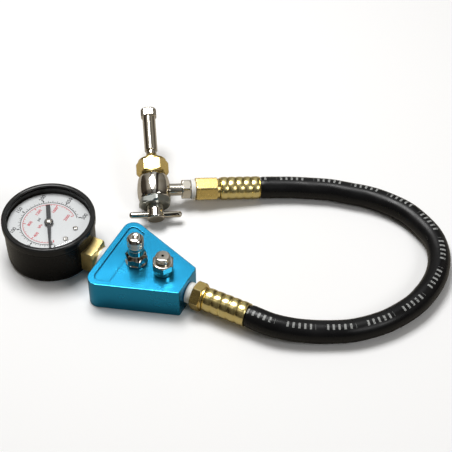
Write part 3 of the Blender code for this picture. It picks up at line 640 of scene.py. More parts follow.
def hose_rubber(name):
    """Black cover rubber: talc haze, a cloth-wrap grain and a worn row of short white bars."""
    paint = Paint(name)
    stain = paint.group(MOTTLE, Vector=paint.place, Scale=90.0, Depth=0.5)
    weave = math_node(paint.tree, "ADD", math_node(paint.tree, "MULTIPLY", paint.round, WEAVE_PITCH),
                      math_node(paint.tree, "MULTIPLY", paint.along, WEAVE_PITCH))
    ripple = math_node(paint.tree, "SINE", math_node(paint.tree, "MULTIPLY", weave, 6.28))
    off_line = math_node(paint.tree, "SUBTRACT", paint.round, LAYLINE_PLACE)
    across = math_node(paint.tree, "ABSOLUTE", off_line)
    narrow = math_node(paint.tree, "LESS_THAN", across, LAYLINE_WIDTH / 2)
    short = math_node(paint.tree, "FRACT", math_node(paint.tree, "DIVIDE", paint.along, BAR_PITCH))
    bar = math_node(paint.tree, "LESS_THAN", short, BAR_SHARE)
    long = math_node(paint.tree, "FRACT", math_node(paint.tree, "DIVIDE", paint.along, ROW_PITCH))
    row = math_node(paint.tree, "LESS_THAN", long, ROW_SHARE)
    worn = math_node(paint.tree, "GREATER_THAN", stain["Grain"], 0.40)
    ink = math_node(paint.tree, "MULTIPLY", math_node(paint.tree, "MULTIPLY", narrow, bar),
                    math_node(paint.tree, "MULTIPLY", row, worn))
    base = paint.scale_colour(HOSE_BLACK, stain["Shade"])
    inked = paint.blend(math_node(paint.tree, "MULTIPLY", ink, 0.75), base, BAR_WHITE)
    paint.feed("Base Color", inked)
    paint.feed("Roughness", math_node(paint.tree, "ADD", stain["Rough"], 0.30))
    paint.set(Specular_IOR_Level=0.26)
    height = math_node(paint.tree, "MULTIPLY_ADD", ripple, 0.12, stain["Grain"])
    paint.bump(height, 0.18)
    return paint.material


def clear_lens(name):
    """Thin clear plastic: it mirrors as its Fresnel share says and lets the rest through."""
    paint = Paint(name)
    shine = paint.tree.nodes.new("ShaderNodeFresnel")
    shine.inputs["IOR"].default_value = 1.32
    haze = paint.group(MOTTLE, Vector=paint.place, Scale=60.0, Depth=0.015)
    paint.set(Metallic=1.0, Roughness=0.04, Base_Color=(0.95, 0.96, 0.97, 1.0))
    facing = paint.tree.nodes.new("ShaderNodeNewGeometry")
    outside = math_node(paint.tree, "SUBTRACT", 1.0, facing.outputs["Backfacing"])
    glare = math_node(paint.tree, "ADD", shine.outputs[0], haze["Rough"])
    paint.feed("Alpha", math_node(paint.tree, "MULTIPLY", glare, outside))
    return paint.material


MOTTLE = make_mottle_group()
TOOL_MARKS = make_tool_mark_group()

BLUE = anodised("blue_anodising")
NICKEL = metal("bright_nickel", (0.75, 0.70, 0.61), (0.88, 0.86, 0.82), 0.09, 0.4, 0.10)
SATIN_NICKEL = metal("satin_nickel", (0.62, 0.60, 0.56), (0.80, 0.78, 0.74), 0.26, 1.0)
BRASS = metal("machined_brass", (0.92, 0.68, 0.22), (0.98, 0.86, 0.48), 0.25, 0.8, 0.20)
STEM_BRASS = metal("sawn_brass", (0.80, 0.62, 0.25), (0.92, 0.78, 0.42), 0.42, 0.8, 0.35)
CRIMP_BRASS = metal("crimped_brass", (0.93, 0.76, 0.31), (0.98, 0.88, 0.50), 0.25, 0.3, 0.20)
ZINC = metal("zinc_plate", (0.42, 0.45, 0.43), (0.62, 0.64, 0.62), 0.34, 0.7, 0.3)
STEEL = metal("plain_steel", (0.50, 0.50, 0.51), (0.70, 0.70, 0.70), 0.28, 0.8)
HOSE_RUBBER = hose_rubber("hose_cover")
SEAL_RUBBER = coating("seal_rubber", (0.02, 0.02, 0.02), (0.04, 0.04, 0.04), 0.6, 0.4, 0.2)
BLACK_PAINT = coating("black_enamel", (0.004, 0.004, 0.004), (0.03, 0.03, 0.03), 0.24, 0.25,
                      0.05, 0.16, 200.0)
RIM_PAINT = coating("rim_enamel", (0.005, 0.005, 0.005), (0.06, 0.06, 0.06), 0.14, 0.2, 0.03, 0.22,
                    200.0)
TAPE = coating("thread_tape", (0.80, 0.80, 0.78), (0.90, 0.90, 0.88), 0.55, 0.2, 0.35, 0.5, 260.0)
DIAL_WHITE = coating("dial_enamel", (0.64, 0.66, 0.67), (0.8, 0.8, 0.8), 0.45, 0.05, 0.04)
BLACK_INK = coating("black_ink", (0.015, 0.015, 0.018), (0.02, 0.02, 0.02), 0.5, 0.3, 0.1)
RED_INK = coating("red_ink", (0.55, 0.05, 0.07), (0.6, 0.1, 0.1), 0.5, 0.3, 0.1)
LENS = clear_lens("clear_lens")


# ---- hose -----------------------------------------------------------------------------------------

HOSE_RADIUS = 6.35
HOSE_START = 36.5         # where the free hose leaves each ferrule, along its fitting's axis
CHUCK_HOSE_START = 62.1
PATH_SPACING = 0.0012
GRIP_DEPTH = 0.55         # how far the ferrules draw the rubber in, and over what length it fades
GRIP_FADE = 0.7
HOSE_ROUTE = [
    (0.0669, -0.0335, 0.0088), (0.0776, -0.0360, 0.0078), (0.0882, -0.0368, 0.0069),
    (0.0989, -0.0368, 0.00645), (0.1096, -0.0361, 0.00645), (0.1205, -0.0333, 0.00645),
    (0.1315, -0.0285, 0.00645), (0.1430, -0.0205, 0.00645), (0.1505, -0.0127, 0.00645),
    (0.1578, -0.0013, 0.00645), (0.1618, 0.0105, 0.00645), (0.1624, 0.0225, 0.00645),
    (0.1590, 0.0347, 0.00645), (0.1489, 0.0491, 0.00645), (0.1381, 0.0574, 0.00645),
    (0.1269, 0.0630, 0.00645), (0.1155, 0.0662, 0.00645), (0.1040, 0.0691, 0.00645),
    (0.0924, 0.0703, 0.00645), (0.0807, 0.0711, 0.00645),
]


def smooth_path(points, spacing):
    """Evenly spaced points on the smooth cubic that passes through all but the end points."""
    before, here, after, beyond = points[:-3], points[1:-2], points[2:-1], points[3:]
    share = np.linspace(0, 1, 24, endpoint=False)[None, :, None]
    first, second, third, fourth = (part[:, None, :] for part in (before, here, after, beyond))
    dense = 0.5 * (2 * second + (third - first) * share
                   + (2 * first - 5 * second + 4 * third - fourth) * share ** 2
                   + (3 * second - first - 3 * third + fourth) * share ** 3)
    dense = np.vstack([dense.reshape(-1, 3), points[-2]])
    run = np.concatenate([[0], np.cumsum(np.linalg.norm(np.diff(dense, axis=0), axis=1))])
    wanted = np.linspace(0, run[-1], round(run[-1] / spacing) + 1)
    path = np.stack([np.interp(wanted, run, dense[:, part]) for part in range(3)], 1)
    return path, wanted


def round_bar(name, path, run, radius, around):
    """A circle carried along a path in metres: point = path + r (cos t * side + sin t * over).

    side points level to the right of the way along, and over is square to both.
    """
    tangent = np.gradient(path, axis=0)
    tangent /= np.linalg.norm(tangent, axis=1)[:, None]
    side = np.cross(tangent, UP)
    side /= np.linalg.norm(side, axis=1)[:, None]
    over = np.cross(side, tangent)
    angle = np.linspace(0, 2 * np.pi, around, endpoint=False)
    ring = np.cos(angle)[None, :, None] * side[:, None] + np.sin(angle)[None, :, None] * over[:, None]
    grid = path[:, None] + radius[:, None, None] * MM * ring
    uv = np.stack([np.repeat(angle[None, :] * radius.max(), len(run), 0),
                   np.repeat(run[:, None] / MM, around, 1)], -1)
    return grid_piece(name, grid, None, uv, wrap=False)


def make_hose():
    """The rubber hose: a circle carried along its route, drawn in a little at both ends."""
    lead = 12.0
    route = np.vstack([HOSE_PORT.along(HOSE_START - lead), HOSE_PORT.along(HOSE_START),
                       HOSE_ROUTE, INLET.along(CHUCK_HOSE_START),
                       INLET.along(CHUCK_HOSE_START - lead)])
    path, run = smooth_path(route, PATH_SPACING)
    from_end = np.minimum(run, run[-1] - run) / MM
    squeeze = GRIP_DEPTH * np.exp(-from_end / GRIP_FADE)
    hose = round_bar("rubber_hose", path, run, HOSE_RADIUS - squeeze, 48)
    finish_piece(hose, HOSE_RUBBER, "hose_rubber", BODY, "hose")


# ---- manifold -------------------------------------------------------------------------------------

BLOCK_WIDE = 27.6
BLOCK_NARROW = 10.1
BLOCK_THICK = 19.05
POCKET_EDGE = -12.1
POCKET_DEPTH = 0.6
POCKET_INSET = 3.2


def rounded_outline(inset, end, wide_round, narrow_round, steps=14):
    """The block's plan as points: a trapezium moved in by inset, its corners drawn as arcs."""
    slope = math.atan2(BLOCK_WIDE - BLOCK_NARROW, 2 * BLOCK_HALF)

    def half_width(x):
        return BLOCK_WIDE - (x + BLOCK_HALF) * math.tan(slope) - inset / math.cos(slope)

    start = -BLOCK_HALF + inset
    corners = np.array([(start, -half_width(start)), (end, -half_width(end)),
                        (end, half_width(end)), (start, half_width(start))])
    rounds = [wide_round, narrow_round, narrow_round, wide_round]
    points = []
    for index, corner in enumerate(corners):
        before = unit(corners[index - 1] - corner)
        after = unit(corners[(index + 1) % 4] - corner)
        half = math.acos(np.clip(before @ after, -1, 1)) / 2
        centre = corner + unit(before + after) * rounds[index] / math.sin(half)
        arms = [corner + way * rounds[index] / math.tan(half) - centre for way in (before, after)]
        first, last = (math.atan2(arm[1], arm[0]) for arm in arms)
        sweep = (last - first + math.pi) % (2 * math.pi) - math.pi
        turn = first + sweep * np.linspace(0, 1, steps)
        points.append(centre + rounds[index] * np.stack([np.cos(turn), np.sin(turn)], 1))
    return np.vstack(points)


def make_block():
    """The block: loops of one set of rays from the pocket's middle, stacked from floor to floor.

    Every loop is the plan outline at some inset, read as a distance at each ray's angle. The
    loops run from the pocket's floor up its wall, over the top, down the side and underneath.
    """
    hub = np.array([-17.0, 0.0])

    def pocket(inset):
        return rounded_outline(POCKET_INSET + inset, POCKET_EDGE - inset, 3.4 - inset, 0.9)

    def plan(inset):
        return rounded_outline(inset, BLOCK_HALF - inset, 6.0 - inset, 1.2 - inset * 0.6)

    top = BLOCK_THICK
    floor = top - POCKET_DEPTH
    # The third value of each level is its wear; the negative values at the pocket's foot paint shade
    # along the pocket's corner.
    levels = [
        (pocket(1.2), floor, 0), (pocket(0.80), floor, 0), (pocket(0.55), floor, -0.8),
        (pocket(0.0), floor, -1), (pocket(0.0), top - 0.2, -0.9), (pocket(0.0), top - 0.12, 0.3),
        (pocket(-0.03), top - 0.03, 0.8), (pocket(-0.12), top, 0.4), (pocket(-0.2), top, 0),
        (plan(0.5), top, 0), (plan(0.3), top, 0), (plan(0.24), top - 0.01, 0.4),
        (plan(0.08), top - 0.08, 0.8), (plan(0.01), top - 0.24, 0.4), (plan(0.0), top - 0.3, 0),
        (plan(0.0), top - 0.6, 0), (plan(0.0), top / 2, 0), (plan(0.0), 0.6, 0),
        (plan(0.0), 0.3, 0), (plan(0.01), 0.24, 0.4), (plan(0.08), 0.08, 0.8),
        (plan(0.24), 0.01, 0.4), (plan(0.3), 0.0, 0), (plan(2.0), 0.0, 0),
    ]
    rays = [np.arctan2(*(loop - hub).T[::-1]) for loop in (plan(0.0), plan(0.5), pocket(0.0))]
    even = np.linspace(-math.pi, math.pi, 120, endpoint=False)
    angle = np.unique(np.round(np.concatenate([*rays, even]), 4))
    way = np.stack([np.cos(angle), np.sin(angle)], 1)
    grid, edge = [], []
    for loop, height, worn in levels:
        offset = loop - hub
        turn = np.arctan2(offset[:, 1], offset[:, 0])
        order = np.argsort(turn)
        turn, offset = turn[order], offset[order]
        turn = np.concatenate([[turn[-1] - 2 * math.pi], turn, [turn[0] + 2 * math.pi]])
        offset = np.vstack([offset[-1], offset, offset[0]])
        index = np.clip(np.searchsorted(turn, angle, side="right") - 1, 0, len(turn) - 2)
        start, side = offset[index], offset[index + 1] - offset[index]
        reach = (start[:, 0] * side[:, 1] - start[:, 1] * side[:, 0]) / (
            way[:, 0] * side[:, 1] - way[:, 1] * side[:, 0])
        flat = hub + way * reach[:, None]
        grid.append(np.column_stack([flat, np.full(len(angle), height)]))
        edge.append(np.full(len(angle), worn))
    block = grid_piece("anodised_block", BLOCK.place(np.array(grid)), np.array(edge), wrap=False)
    finish_piece(block, BLUE, "blue_anodised", BODY, "manifold_block")


def make_fill_valve():
    """The fill valve's body with its hexagon and threaded stem, and the knurled cap over it."""
    foot = 19.35
    flats = 11.1
    corner = 6.41
    turn = -46.0
    profile = fillet([
        (2.4, 36.0), (3.4, 36.0, 0.2), (3.7, 35.5, 0.2), (3.7, 30.2), (4.35, 30.0, 0.15),
        (4.35, 26.3, 0.3), (5.5, 24.5, 0.4), (corner, 23.7, 0.2), (corner, 20.5, 0.2),
        (6.1, 20.1, 0.15), (6.1, foot, 0.15), (3.95, foot), (3.95, 12.5), (2.4, 12.5),
    ])
    profile = refine(profile, 0.12, 30.3, 35.4)
    body = turned("fill_post", profile, FILL_POST,
                  [hexagon(flats, 20.15, 24.4, turn), thread(30.3, 35.6, 0.79, 0.28)], True,
                  turn=turn)
    finish_piece(body, NICKEL, "nickel", BODY, "fill_valve_body")
    profile = fillet([
        (0.0, 37.75), (0.9, 37.85, 0.3), (1.5, 38.35, 0.3), (2.5, 38.5, 0.5), (3.7, 38.1, 0.6),
        (4.35, 37.1, 0.4), (4.45, 36.9, 0.05), (4.6, 36.7, 0.1), (4.6, 33.2, 0.1), (4.4, 32.9, 0.1),
        (4.4, 32.6, 0.1), (4.5, 32.3, 0.1), (4.5, 30.5, 0.15), (3.95, 30.5), (3.95, 36.5),
        (0.0, 36.5),
    ])
    profile = refine(profile, 0.3, 33.2, 36.7)
    cap = turned("fill_cap", profile, FILL_POST, [diamonds(24, 33.2, 36.7, 1.3, 0.16)],
                 around=192)
    finish_piece(cap, NICKEL, "nickel", "fill_cap", "fill_valve_cap")


def make_bleed_valve():
    """The bleed valve's collar and hexagon, and the vented push button on top."""
    foot = 19.35
    flats = 11.1
    corner = 6.41
    turn = -63.0
    profile = fillet([
        (3.5, 27.3, 0.1), (5.2, 27.3, 0.3), (corner, 26.6, 0.2), (corner, 23.0, 0.2),
        (5.4, 22.6, 0.1), (5.3, 22.3, 0.1), (5.3, foot, 0.25), (3.95, foot), (3.95, 12.5),
        (1.3, 12.5), (1.3, 20.0), (3.5, 20.0),
    ])
    body = turned("bleed_post", profile, BLEED_POST, [hexagon(flats, 22.65, 27.35, turn)], True,
                  turn=turn)
    finish_piece(body, NICKEL, "nickel", BODY, "bleed_valve_body")
    profile = fillet([
        (0.0, 25.4), (0.75, 25.4), (0.75, 31.62), (0.8, 31.7), (3.6, 31.7, 0.25),
        (4.1, 31.2, 0.25), (4.15, 30.4, 0.1), (3.6, 30.1, 0.1), (3.6, 29.8, 0.1),
        (4.2, 29.55, 0.12), (4.2, 28.95, 0.12), (3.3, 28.8), (3.3, 24.7),
        (1.1, 24.7), (1.1, 15.5), (0.0, 15.5),
    ])
    # The vent hole inside the button is painted near black as shade.
    knob = turned("bleed_knob", profile, BLEED_POST, [soiled(0.79, 20.0, 31.65)])
    finish_piece(knob, NICKEL, "nickel", "bleed_plunger", "bleed_button")


def make_bleed_spring():
    """The coil under the button: a circle carried along a helix."""
    foot = 20.45
    head = 24.0
    wire = 0.3
    coil_radius = 2.4
    turns = 3.5
    count = 260
    turn = np.linspace(0, 2 * np.pi * turns, count)
    height = np.linspace(foot + wire, head, count)
    coil = np.stack([coil_radius * np.cos(turn), coil_radius * np.sin(turn), height], -1)
    path = BLEED_POST.place(coil)
    run = turn * coil_radius * MM
    spring = round_bar("bleed_coil", path, run, np.full(count, wire), 10)
    finish_piece(spring, STEEL, "steel", BODY, "bleed_spring")
    tuple(BLEED_POST.along(foot))
    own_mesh(spring)


def make_tapes():
    """White tape wound round three threads: a ring whose radius ripples turn by turn."""
    def ripple(radius, height, edge, angle):
        wave = 0.10 * np.sin(height * 7 + 2 * angle) + 0.05 * np.sin(5 * angle + height * 2)
        outer = radius > radius.max() - 0.7
        return np.where(outer, radius + wave - 0.12, radius), height, edge

    for name, axes, low, high, inner, outer, node in (
            ("tape_gauge_port", GAUGE_PORT, 0.3, 3.7, 6.45, 7.0, "gauge_port_tape"),
            ("tape_hose_port", HOSE_PORT, 0.3, 3.9, 5.15, 6.1, "hose_port_tape"),
            ("tape_chuck", INLET, 21.4, 24.0, 4.2, 5.9, "chuck_tape")):
        profile = fillet([(inner, high), (outer - 0.25, high, 0.2), (outer, (low + high) / 2, 0.8),
                          (outer - 0.1, low, 0.2), (inner, low)])
        profile = refine(profile, 0.25, low, high)
        tape = turned(name, profile, axes, [ripple], True)
        finish_piece(tape, TAPE, "white_tape", BODY, node)


# ---- hose ends ------------------------------------------------------------------------------------

def make_nipple(name, axes, thread_run, hexagon_run, tail, flats, turn, node):
    """A brass hose fitting: threaded nose, chamfered hexagon, collar and hidden barbed tail."""
    start, radius = thread_run
    low, high = hexagon_run
    corner = flats / math.sqrt(3)
    collar = flats / 2 - 0.55
    profile = fillet([
        (1.5, tail[1]), (2.7, tail[1]), (3.3, tail[1] - 6), (2.8, tail[1] - 6.3), (2.8, tail[0]),
        (collar, tail[0], 0.15), (collar, high, 0.1), (corner - 0.6, high, 0.15),
        (corner, high - 0.5, 0.15), (corner, low + 0.5, 0.15), (corner - 0.6, low, 0.15),
        (radius, low), (radius - 0.2, start), (1.5, start),
    ])
    profile = refine(profile, 0.14, start, low - 0.1)
    piece = turned(name, profile, axes, [hexagon(flats, low - 0.02, high + 0.02, turn),
                                         thread(start, low, 0.94, 0.3)], True, turn=turn)
    finish_piece(piece, BRASS, "brass", BODY, node)


def make_ferrule(name, axes, low, high, jaw_turn, jaw_depth, node):
    """A crimped sleeve: its radius swells between five crimps and is pinched by eight jaws.

    The swell is a power of a cosine along the axis, and the jaws a high power of one round it. A
    pit between two jaws is a bell curve of the angle times a bell curve of the swell.
    """
    count = 5
    pitch = (high - low - 0.6) / count
    middle_height = (low + high) / 2

    def crimp(radius, height, edge, angle):
        outer = radius > 5.6
        step = (height - middle_height) / pitch + 0.5
        inside = (np.abs(height - middle_height) < pitch * count / 2)
        swell = np.abs(np.cos(np.pi * (step - 0.5))) ** 0.6
        around = angle - math.radians(jaw_turn)
        jaw = np.abs(np.cos(4 * around)) ** 10
        pinch = 0.42 * (1 - swell) + jaw_depth * jaw * swell
        depth = np.where(inside, pinch, 0.0)
        groove = np.where(inside, 1 - swell, 0.0)
        pit_across = (around + np.pi / 8) % (np.pi / 4) - np.pi / 8
        pit = jaw_depth * np.exp(-(pit_across * 6.3 / 0.4) ** 2) * np.exp(-((swell - 0.2) / 0.3) ** 2)
        edge = np.where(outer, np.clip(edge - groove * 0.5, 0, 1), edge)
        return np.where(outer, radius - depth - pit * inside, radius), height, edge

    profile = fillet([(5.5, high, 0.1), (6.55, high, 0.25), (6.7, high - 0.8, 0.2),
                      (6.7, low + 0.9, 0.2), (6.3, low, 0.2), (5.5, low)])
    profile = refine(profile, 0.22, low, high)
    piece = turned(name, profile, axes, [crimp], True, around=144)
    finish_piece(piece, CRIMP_BRASS, "crimp_brass", BODY, node)


# ---- gauge ----------------------------------------------------------------------------------------

DIAL_TOP = 21.8
ZERO_ANGLE = -48.1
FULL_SWEEP = 270.0
FULL_PRESSURE = 300.0
KPA_PER_PSI = 6.8948
GAUGE_ROUND = 180         # points round the gauge's large turned pieces
INK_LOW = DIAL_TOP + 0.01
INK_HIGH = DIAL_TOP + 0.05
INK_THICK = INK_HIGH - INK_LOW


def pressure_angle(pressure):
    """The dial angle of a pressure in psi; the scale runs clockwise."""
    return ZERO_ANGLE - FULL_SWEEP * pressure / FULL_PRESSURE


def make_gauge_shell():
    """Case, rolled bezel and lens."""
    profile = fillet([
        (0.0, 1.6), (23.3, 1.6, 0.5), (23.8, 22.4), (25.4, 22.4, 0.2), (25.35, 21.0, 0.3),
        (25.3, 12.0), (25.0, 2.0, 0.6), (24.2, 0.25, 0.8), (22.6, 0.0, 0.3), (0.0, 0.0),
    ])
    case = turned("gauge_cup", profile, GAUGE, around=GAUGE_ROUND)
    finish_piece(case, BLACK_PAINT, "black_case", BODY, "gauge_case")
    profile = fillet([
        (23.2, 26.9), (23.25, 27.3, 0.15), (23.75, 27.75, 0.3), (24.5, 27.9, 0.3),
        (25.5, 27.85, 0.5), (26.2, 27.1, 0.5), (26.2, 23.4, 0.3), (25.75, 22.7, 0.3),
        (23.9, 22.7), (23.9, 24.9), (25.15, 24.9), (25.15, 26.9),
    ], 5)
    bezel = turned("gauge_rim", profile, GAUGE, ring=True, around=GAUGE_ROUND)
    finish_piece(bezel, RIM_PAINT, "black_case", BODY, "gauge_bezel")
    profile = fillet([(0.0, 26.8), (24.9, 26.8, 0.1), (24.9, 25.15, 0.1), (0.0, 25.15)])
    lens = turned("gauge_crystal", profile, GAUGE, around=GAUGE_ROUND)
    finish_piece(lens, LENS, "lens", BODY, "gauge_lens")


def arc_band(name, radius, width, start, end):
    """A printed arc: an oblong section carried along a circle."""
    turn = np.radians(np.linspace(start, end, 120))
    stations = [((radius * math.cos(t), radius * math.sin(t)), (math.cos(t), math.sin(t)),
                 width / 2, INK_LOW, INK_HIGH) for t in turn]
    return band(name, stations, GAUGE)


def tick_band(name, angle, inner, outer, width):
    """A printed tick along a ray of the dial."""
    t = math.radians(angle)
    way = np.array([math.cos(t), math.sin(t)])
    side = (-way[1], way[0])
    stations = [(way * reach, side, width / 2, INK_LOW, INK_HIGH) for reach in (inner, outer)]
    return band(name, stations, GAUGE)


def lettering(name, text, size, radius, angle):
    """Upright numerals whose middle stands at a dial angle; the dial's foot faces the stem."""
    curve = bpy.data.curves.new(name, "FONT")
    curve.body = text
    curve.size = size
    curve.offset = 0.05
    curve.align_x = "CENTER"
    curve.align_y = "CENTER"
    curve.extrude = INK_THICK / 2
    curve.resolution_u = 3
    source = bpy.data.objects.new(name + "_text", curve)
    bpy.context.scene.collection.objects.link(source)
    bpy.context.view_layer.update()
    graph = bpy.context.evaluated_depsgraph_get()
    mesh = bpy.data.meshes.new_from_object(source.evaluated_get(graph))
    bpy.data.objects.remove(source, do_unlink=True)
    co = read_points(mesh)
    t = math.radians(angle)
    local = np.column_stack([radius * math.cos(t) - co[:, 1], radius * math.sin(t) + co[:, 0],
                             co[:, 2] + INK_LOW + INK_THICK / 2])
    mesh.vertices.foreach_set("co", GAUGE.place(local).ravel())
    mesh.materials.clear()
    return show(name, mesh)


def make_dial():
    """The dial disc, its printed scales in psi and kPa, its screws and the pointer's stop."""
    profile = fillet([(1.4, DIAL_TOP), (23.2, DIAL_TOP, 0.1), (23.2, 21.2, 0.1), (1.4, 21.2)])
    dial = turned("dial_plate", profile, GAUGE, ring=True, around=GAUGE_ROUND)
    finish_piece(dial, DIAL_WHITE, "dial_face", BODY, "gauge_dial")

    black = [arc_band("arc", 15.9, 0.36, pressure_angle(0), pressure_angle(FULL_PRESSURE))]
    for step in range(61):
        pressure = step * 5
        major = step % 10 == 0
        half = step % 2 == 0
        outer = 18.2 if major else (17.3 if half else 16.7)
        width = 0.7 if major else 0.26
        inner = 16.1 if not major else 16.6
        black.append(tick_band("tick", pressure_angle(pressure), inner, outer, width))
    for pressure in range(0, 301, 50):
        distance = 20.2 if pressure else 20.0
        black.append(lettering("number", str(pressure), 3.1, distance, pressure_angle(pressure)))
    black.append(lettering("unit", "psi", 2.2, 6.6, 180.0))
    finish_piece(join("black_scale", black), BLACK_INK, "dial_face", BODY)

    top_kpa = 2000
    end = pressure_angle(top_kpa / KPA_PER_PSI)
    red = [arc_band("arc", 14.6, 0.30, pressure_angle(0), end)]
    for kpa in range(0, top_kpa + 1, 50):
        major = kpa % 400 == 0
        inner = 13.0 if major else (13.6 if kpa % 100 == 0 else 14.0)
        width = 0.5 if major else 0.22
        red.append(tick_band("tick", pressure_angle(kpa / KPA_PER_PSI), inner, 14.5, width))
    for kpa in range(400, top_kpa + 1, 400):
        red.append(lettering("number", str(kpa), 2.5, 10.6, pressure_angle(kpa / KPA_PER_PSI)))
    red.append(lettering("unit", "kPa", 2.2, 5.2, 230.0))
    finish_piece(join("red_scale", red), RED_INK, "dial_face", BODY)

    for number, turn in ((1, 25.0), (2, -40.0)):
        axes = Axes(middle(f"dial_screw_{number}") * (1, 1, 0), UP, BLOCK_WAY)
        profile = fillet([(0.0, 22.8), (0.95, 22.8, 0.1), (1.4, 22.55, 0.15), (1.4, 22.1, 0.05),
                          (0.8, 22.1), (0.8, 19.0), (0.0, 19.0)])
        radii, heights, worn = profile
        crown = np.linspace(0, 1, 8, endpoint=False)[1:]
        profile = (np.concatenate([[0.0], crown * 0.9, radii[1:]]),
                   np.concatenate([[22.8], np.full(7, 22.8), heights[1:]]),
                   np.concatenate([[0.0], np.zeros(7), worn[1:]]))
        screw = turned(f"dial_screw_head_{number}", profile, axes,
                       [slot(0.36, 22.8, 0.3, turn)], around=72)
        finish_piece(screw, SATIN_NICKEL, "nickel", BODY, f"dial_screw_{number}")
    axes = Axes(middle("stop_pin") * (1, 1, 0), UP, BLOCK_WAY)
    profile = fillet([(0.0, 24.0), (0.35, 23.9, 0.12), (0.35, 20.0), (0.0, 20.0)])
    pin = turned("pointer_stop", profile, axes, around=24)
    finish_piece(pin, STEEL, "steel", BODY, "stop_pin")


def make_pointer():
    """A blade whose half width is the greatest of tail, hub disc and taper, under a domed hub."""
    rest = -56.6
    tail_end, tip = -13.0, 20.0
    hub_radius = 2.55
    tail_half, root_half, taper = 1.2, 1.12, 0.66
    t = math.radians(rest)
    way = np.array([math.cos(t), math.sin(t)])
    side = np.array([-way[1], way[0]])
    along = np.unique(np.concatenate([np.linspace(tail_end, tip, 60), np.linspace(-2.6, 2.6, 40)]))
    tail = np.where(along < 0, tail_half, 0.0)
    blade = np.where(along >= 0, root_half - taper * along / tip, 0.0)
    hub = np.sqrt(np.clip(hub_radius ** 2 - along ** 2, 0, None))
    half = np.maximum(np.maximum(tail, blade), hub)
    stations = [(way * place, side, width, 23.1, 23.45) for place, width in zip(along, half)]
    blade_piece = band("pointer_blade", stations, GAUGE)
    finish_piece(blade_piece, BLACK_INK, "pointer_black", "pointer", "pointer")
    profile = fillet([
        (0.0, 24.62), (1.1, 24.5, 0.4), (1.95, 24.0, 0.3), (2.05, 23.7, 0.1), (2.05, 23.5, 0.05),
        (0.0, 23.5),
    ])
    dome = turned("pointer_hub", profile, GAUGE, around=72)
    finish_piece(dome, SATIN_NICKEL, "nickel", "pointer")


def make_stem():
    """The gauge's brass stem: a square bar with trimmed corners, a cone and a taper thread."""
    half = 7.15
    profile = fillet([
        (1.5, 48.4), (5.8, 48.4, 0.3), (6.3, 47.2, 0.3), (6.35, 32.6, 0.2), (7.0, 31.6, 0.3),
        (9.2, 30.9, 0.4), (9.7, 30.3, 0.3), (9.7, 6.4, 0.3), (9.3, 6.0, 0.2), (1.5, 6.0),
    ])
    profile = refine(profile, 0.2, 32.6, 47.0)
    stem = turned("gauge_fitting", profile, STEM,
                  [hexagon(half * 2, 5.9, 31.2, 45.0, sides=4, softness=0.5),
                   thread(32.9, 47.5, 1.34, 0.35)], True, around=120)
    finish_piece(stem, STEM_BRASS, "brass", BODY, "gauge_stem")


# ---- chuck ----------------------------------------------------------------------------------------

def make_inlet():
    """The nickel nipple on the barrel's side."""
    flats = 10.7
    corner = flats / math.sqrt(3)
    turn = -7.0
    profile = fillet([
        (4.15, 20.9), (corner - 0.6, 20.9, 0.15), (corner, 20.4, 0.15), (corner, 16.7, 0.15),
        (corner - 0.6, 16.2, 0.15), (3.6, 16.2, 0.1), (3.5, 16.0, 0.1), (3.5, 6.2), (1.3, 6.2),
        (1.3, 16.4), (4.15, 16.4),
    ])
    nipple = turned("inlet_nipple", profile, INLET, [hexagon(flats, 16.18, 21.0, turn)], True,
                    turn=turn)
    finish_piece(nipple, NICKEL, "nickel", BODY, "chuck_nipple")


def make_barrel():
    """The barrel: a rounded body on a gland nut, with a short neck above."""
    profile = fillet([
        (3.9, 13.5), (5.9, 13.5, 0.2), (6.3, 13.0, 0.2), (6.3, 8.6), (7.7, 8.6, 0.3),
        (8.6, 7.2, 1.2), (9.3, 4.0, 1.6), (9.65, -1.0, 2.4), (9.45, -4.2, 1.2), (8.9, -5.9, 0.5),
        (8.4, -6.3, 0.2), (5.2, -6.3), (5.2, -1.0), (3.9, -1.0),
    ], 7)
    barrel = turned("chuck_barrel", profile, CHUCK, ring=True)
    finish_piece(barrel, NICKEL, "nickel", BODY, "chuck_body")
    flats = 17.0
    corner = flats / math.sqrt(3)
    turn = 34.0
    profile = fillet([
        (3.75, -2.7), (5.05, -2.7), (5.05, -6.6), (corner - 0.8, -6.6, 0.15),
        (corner, -7.1, 0.2), (corner, -9.1, 0.2), (corner - 1.4, -10.2, 0.2), (4.85, -10.2, 0.15),
        (4.85, -7.1), (3.75, -7.1),
    ])
    gland = turned("gland", profile, CHUCK, [hexagon(flats, -10.25, -6.55, turn)], True, turn=turn)
    finish_piece(gland, ZINC, "zinc", BODY, "gland_nut")


def make_spindle():
    """The spindle with its rimmed end, and the cross bar through it."""
    profile = fillet([
        (0.0, 3.5), (3.0, 3.5, 0.2), (3.6, 2.9, 0.2), (3.6, -10.0), (4.7, -10.0, 0.2),
        (4.7, -16.9, 0.1), (5.1, -17.1, 0.15), (5.15, -18.1, 0.3), (4.7, -18.5, 0.2), (0.0, -18.5),
    ])
    profile = refine(profile, 0.14, -9.9, 2.9)
    spindle = turned("spindle_rod", profile, CHUCK, [thread(-9.8, 2.9, 1.25, 0.35)])
    finish_piece(spindle, NICKEL, "nickel", "spindle", "spindle")
    half = 15.15
    radius = 1.8
    turn = np.radians(np.linspace(0, 90, 9))
    end_r = radius * np.sin(turn)
    end_z = half - radius * 0.8 * (1 - np.cos(turn))
    profile = (np.concatenate([end_r, end_r[::-1]]), np.concatenate([end_z, -end_z[::-1]]),
               np.zeros(18))
    bar_axes = Axes(middle("cross_bar"), INLET_WAY, -CHUCK_WAY)
    bar = turned("handle_bar", profile, bar_axes, around=48)
    finish_piece(bar, NICKEL, "nickel", "spindle", "cross_bar")


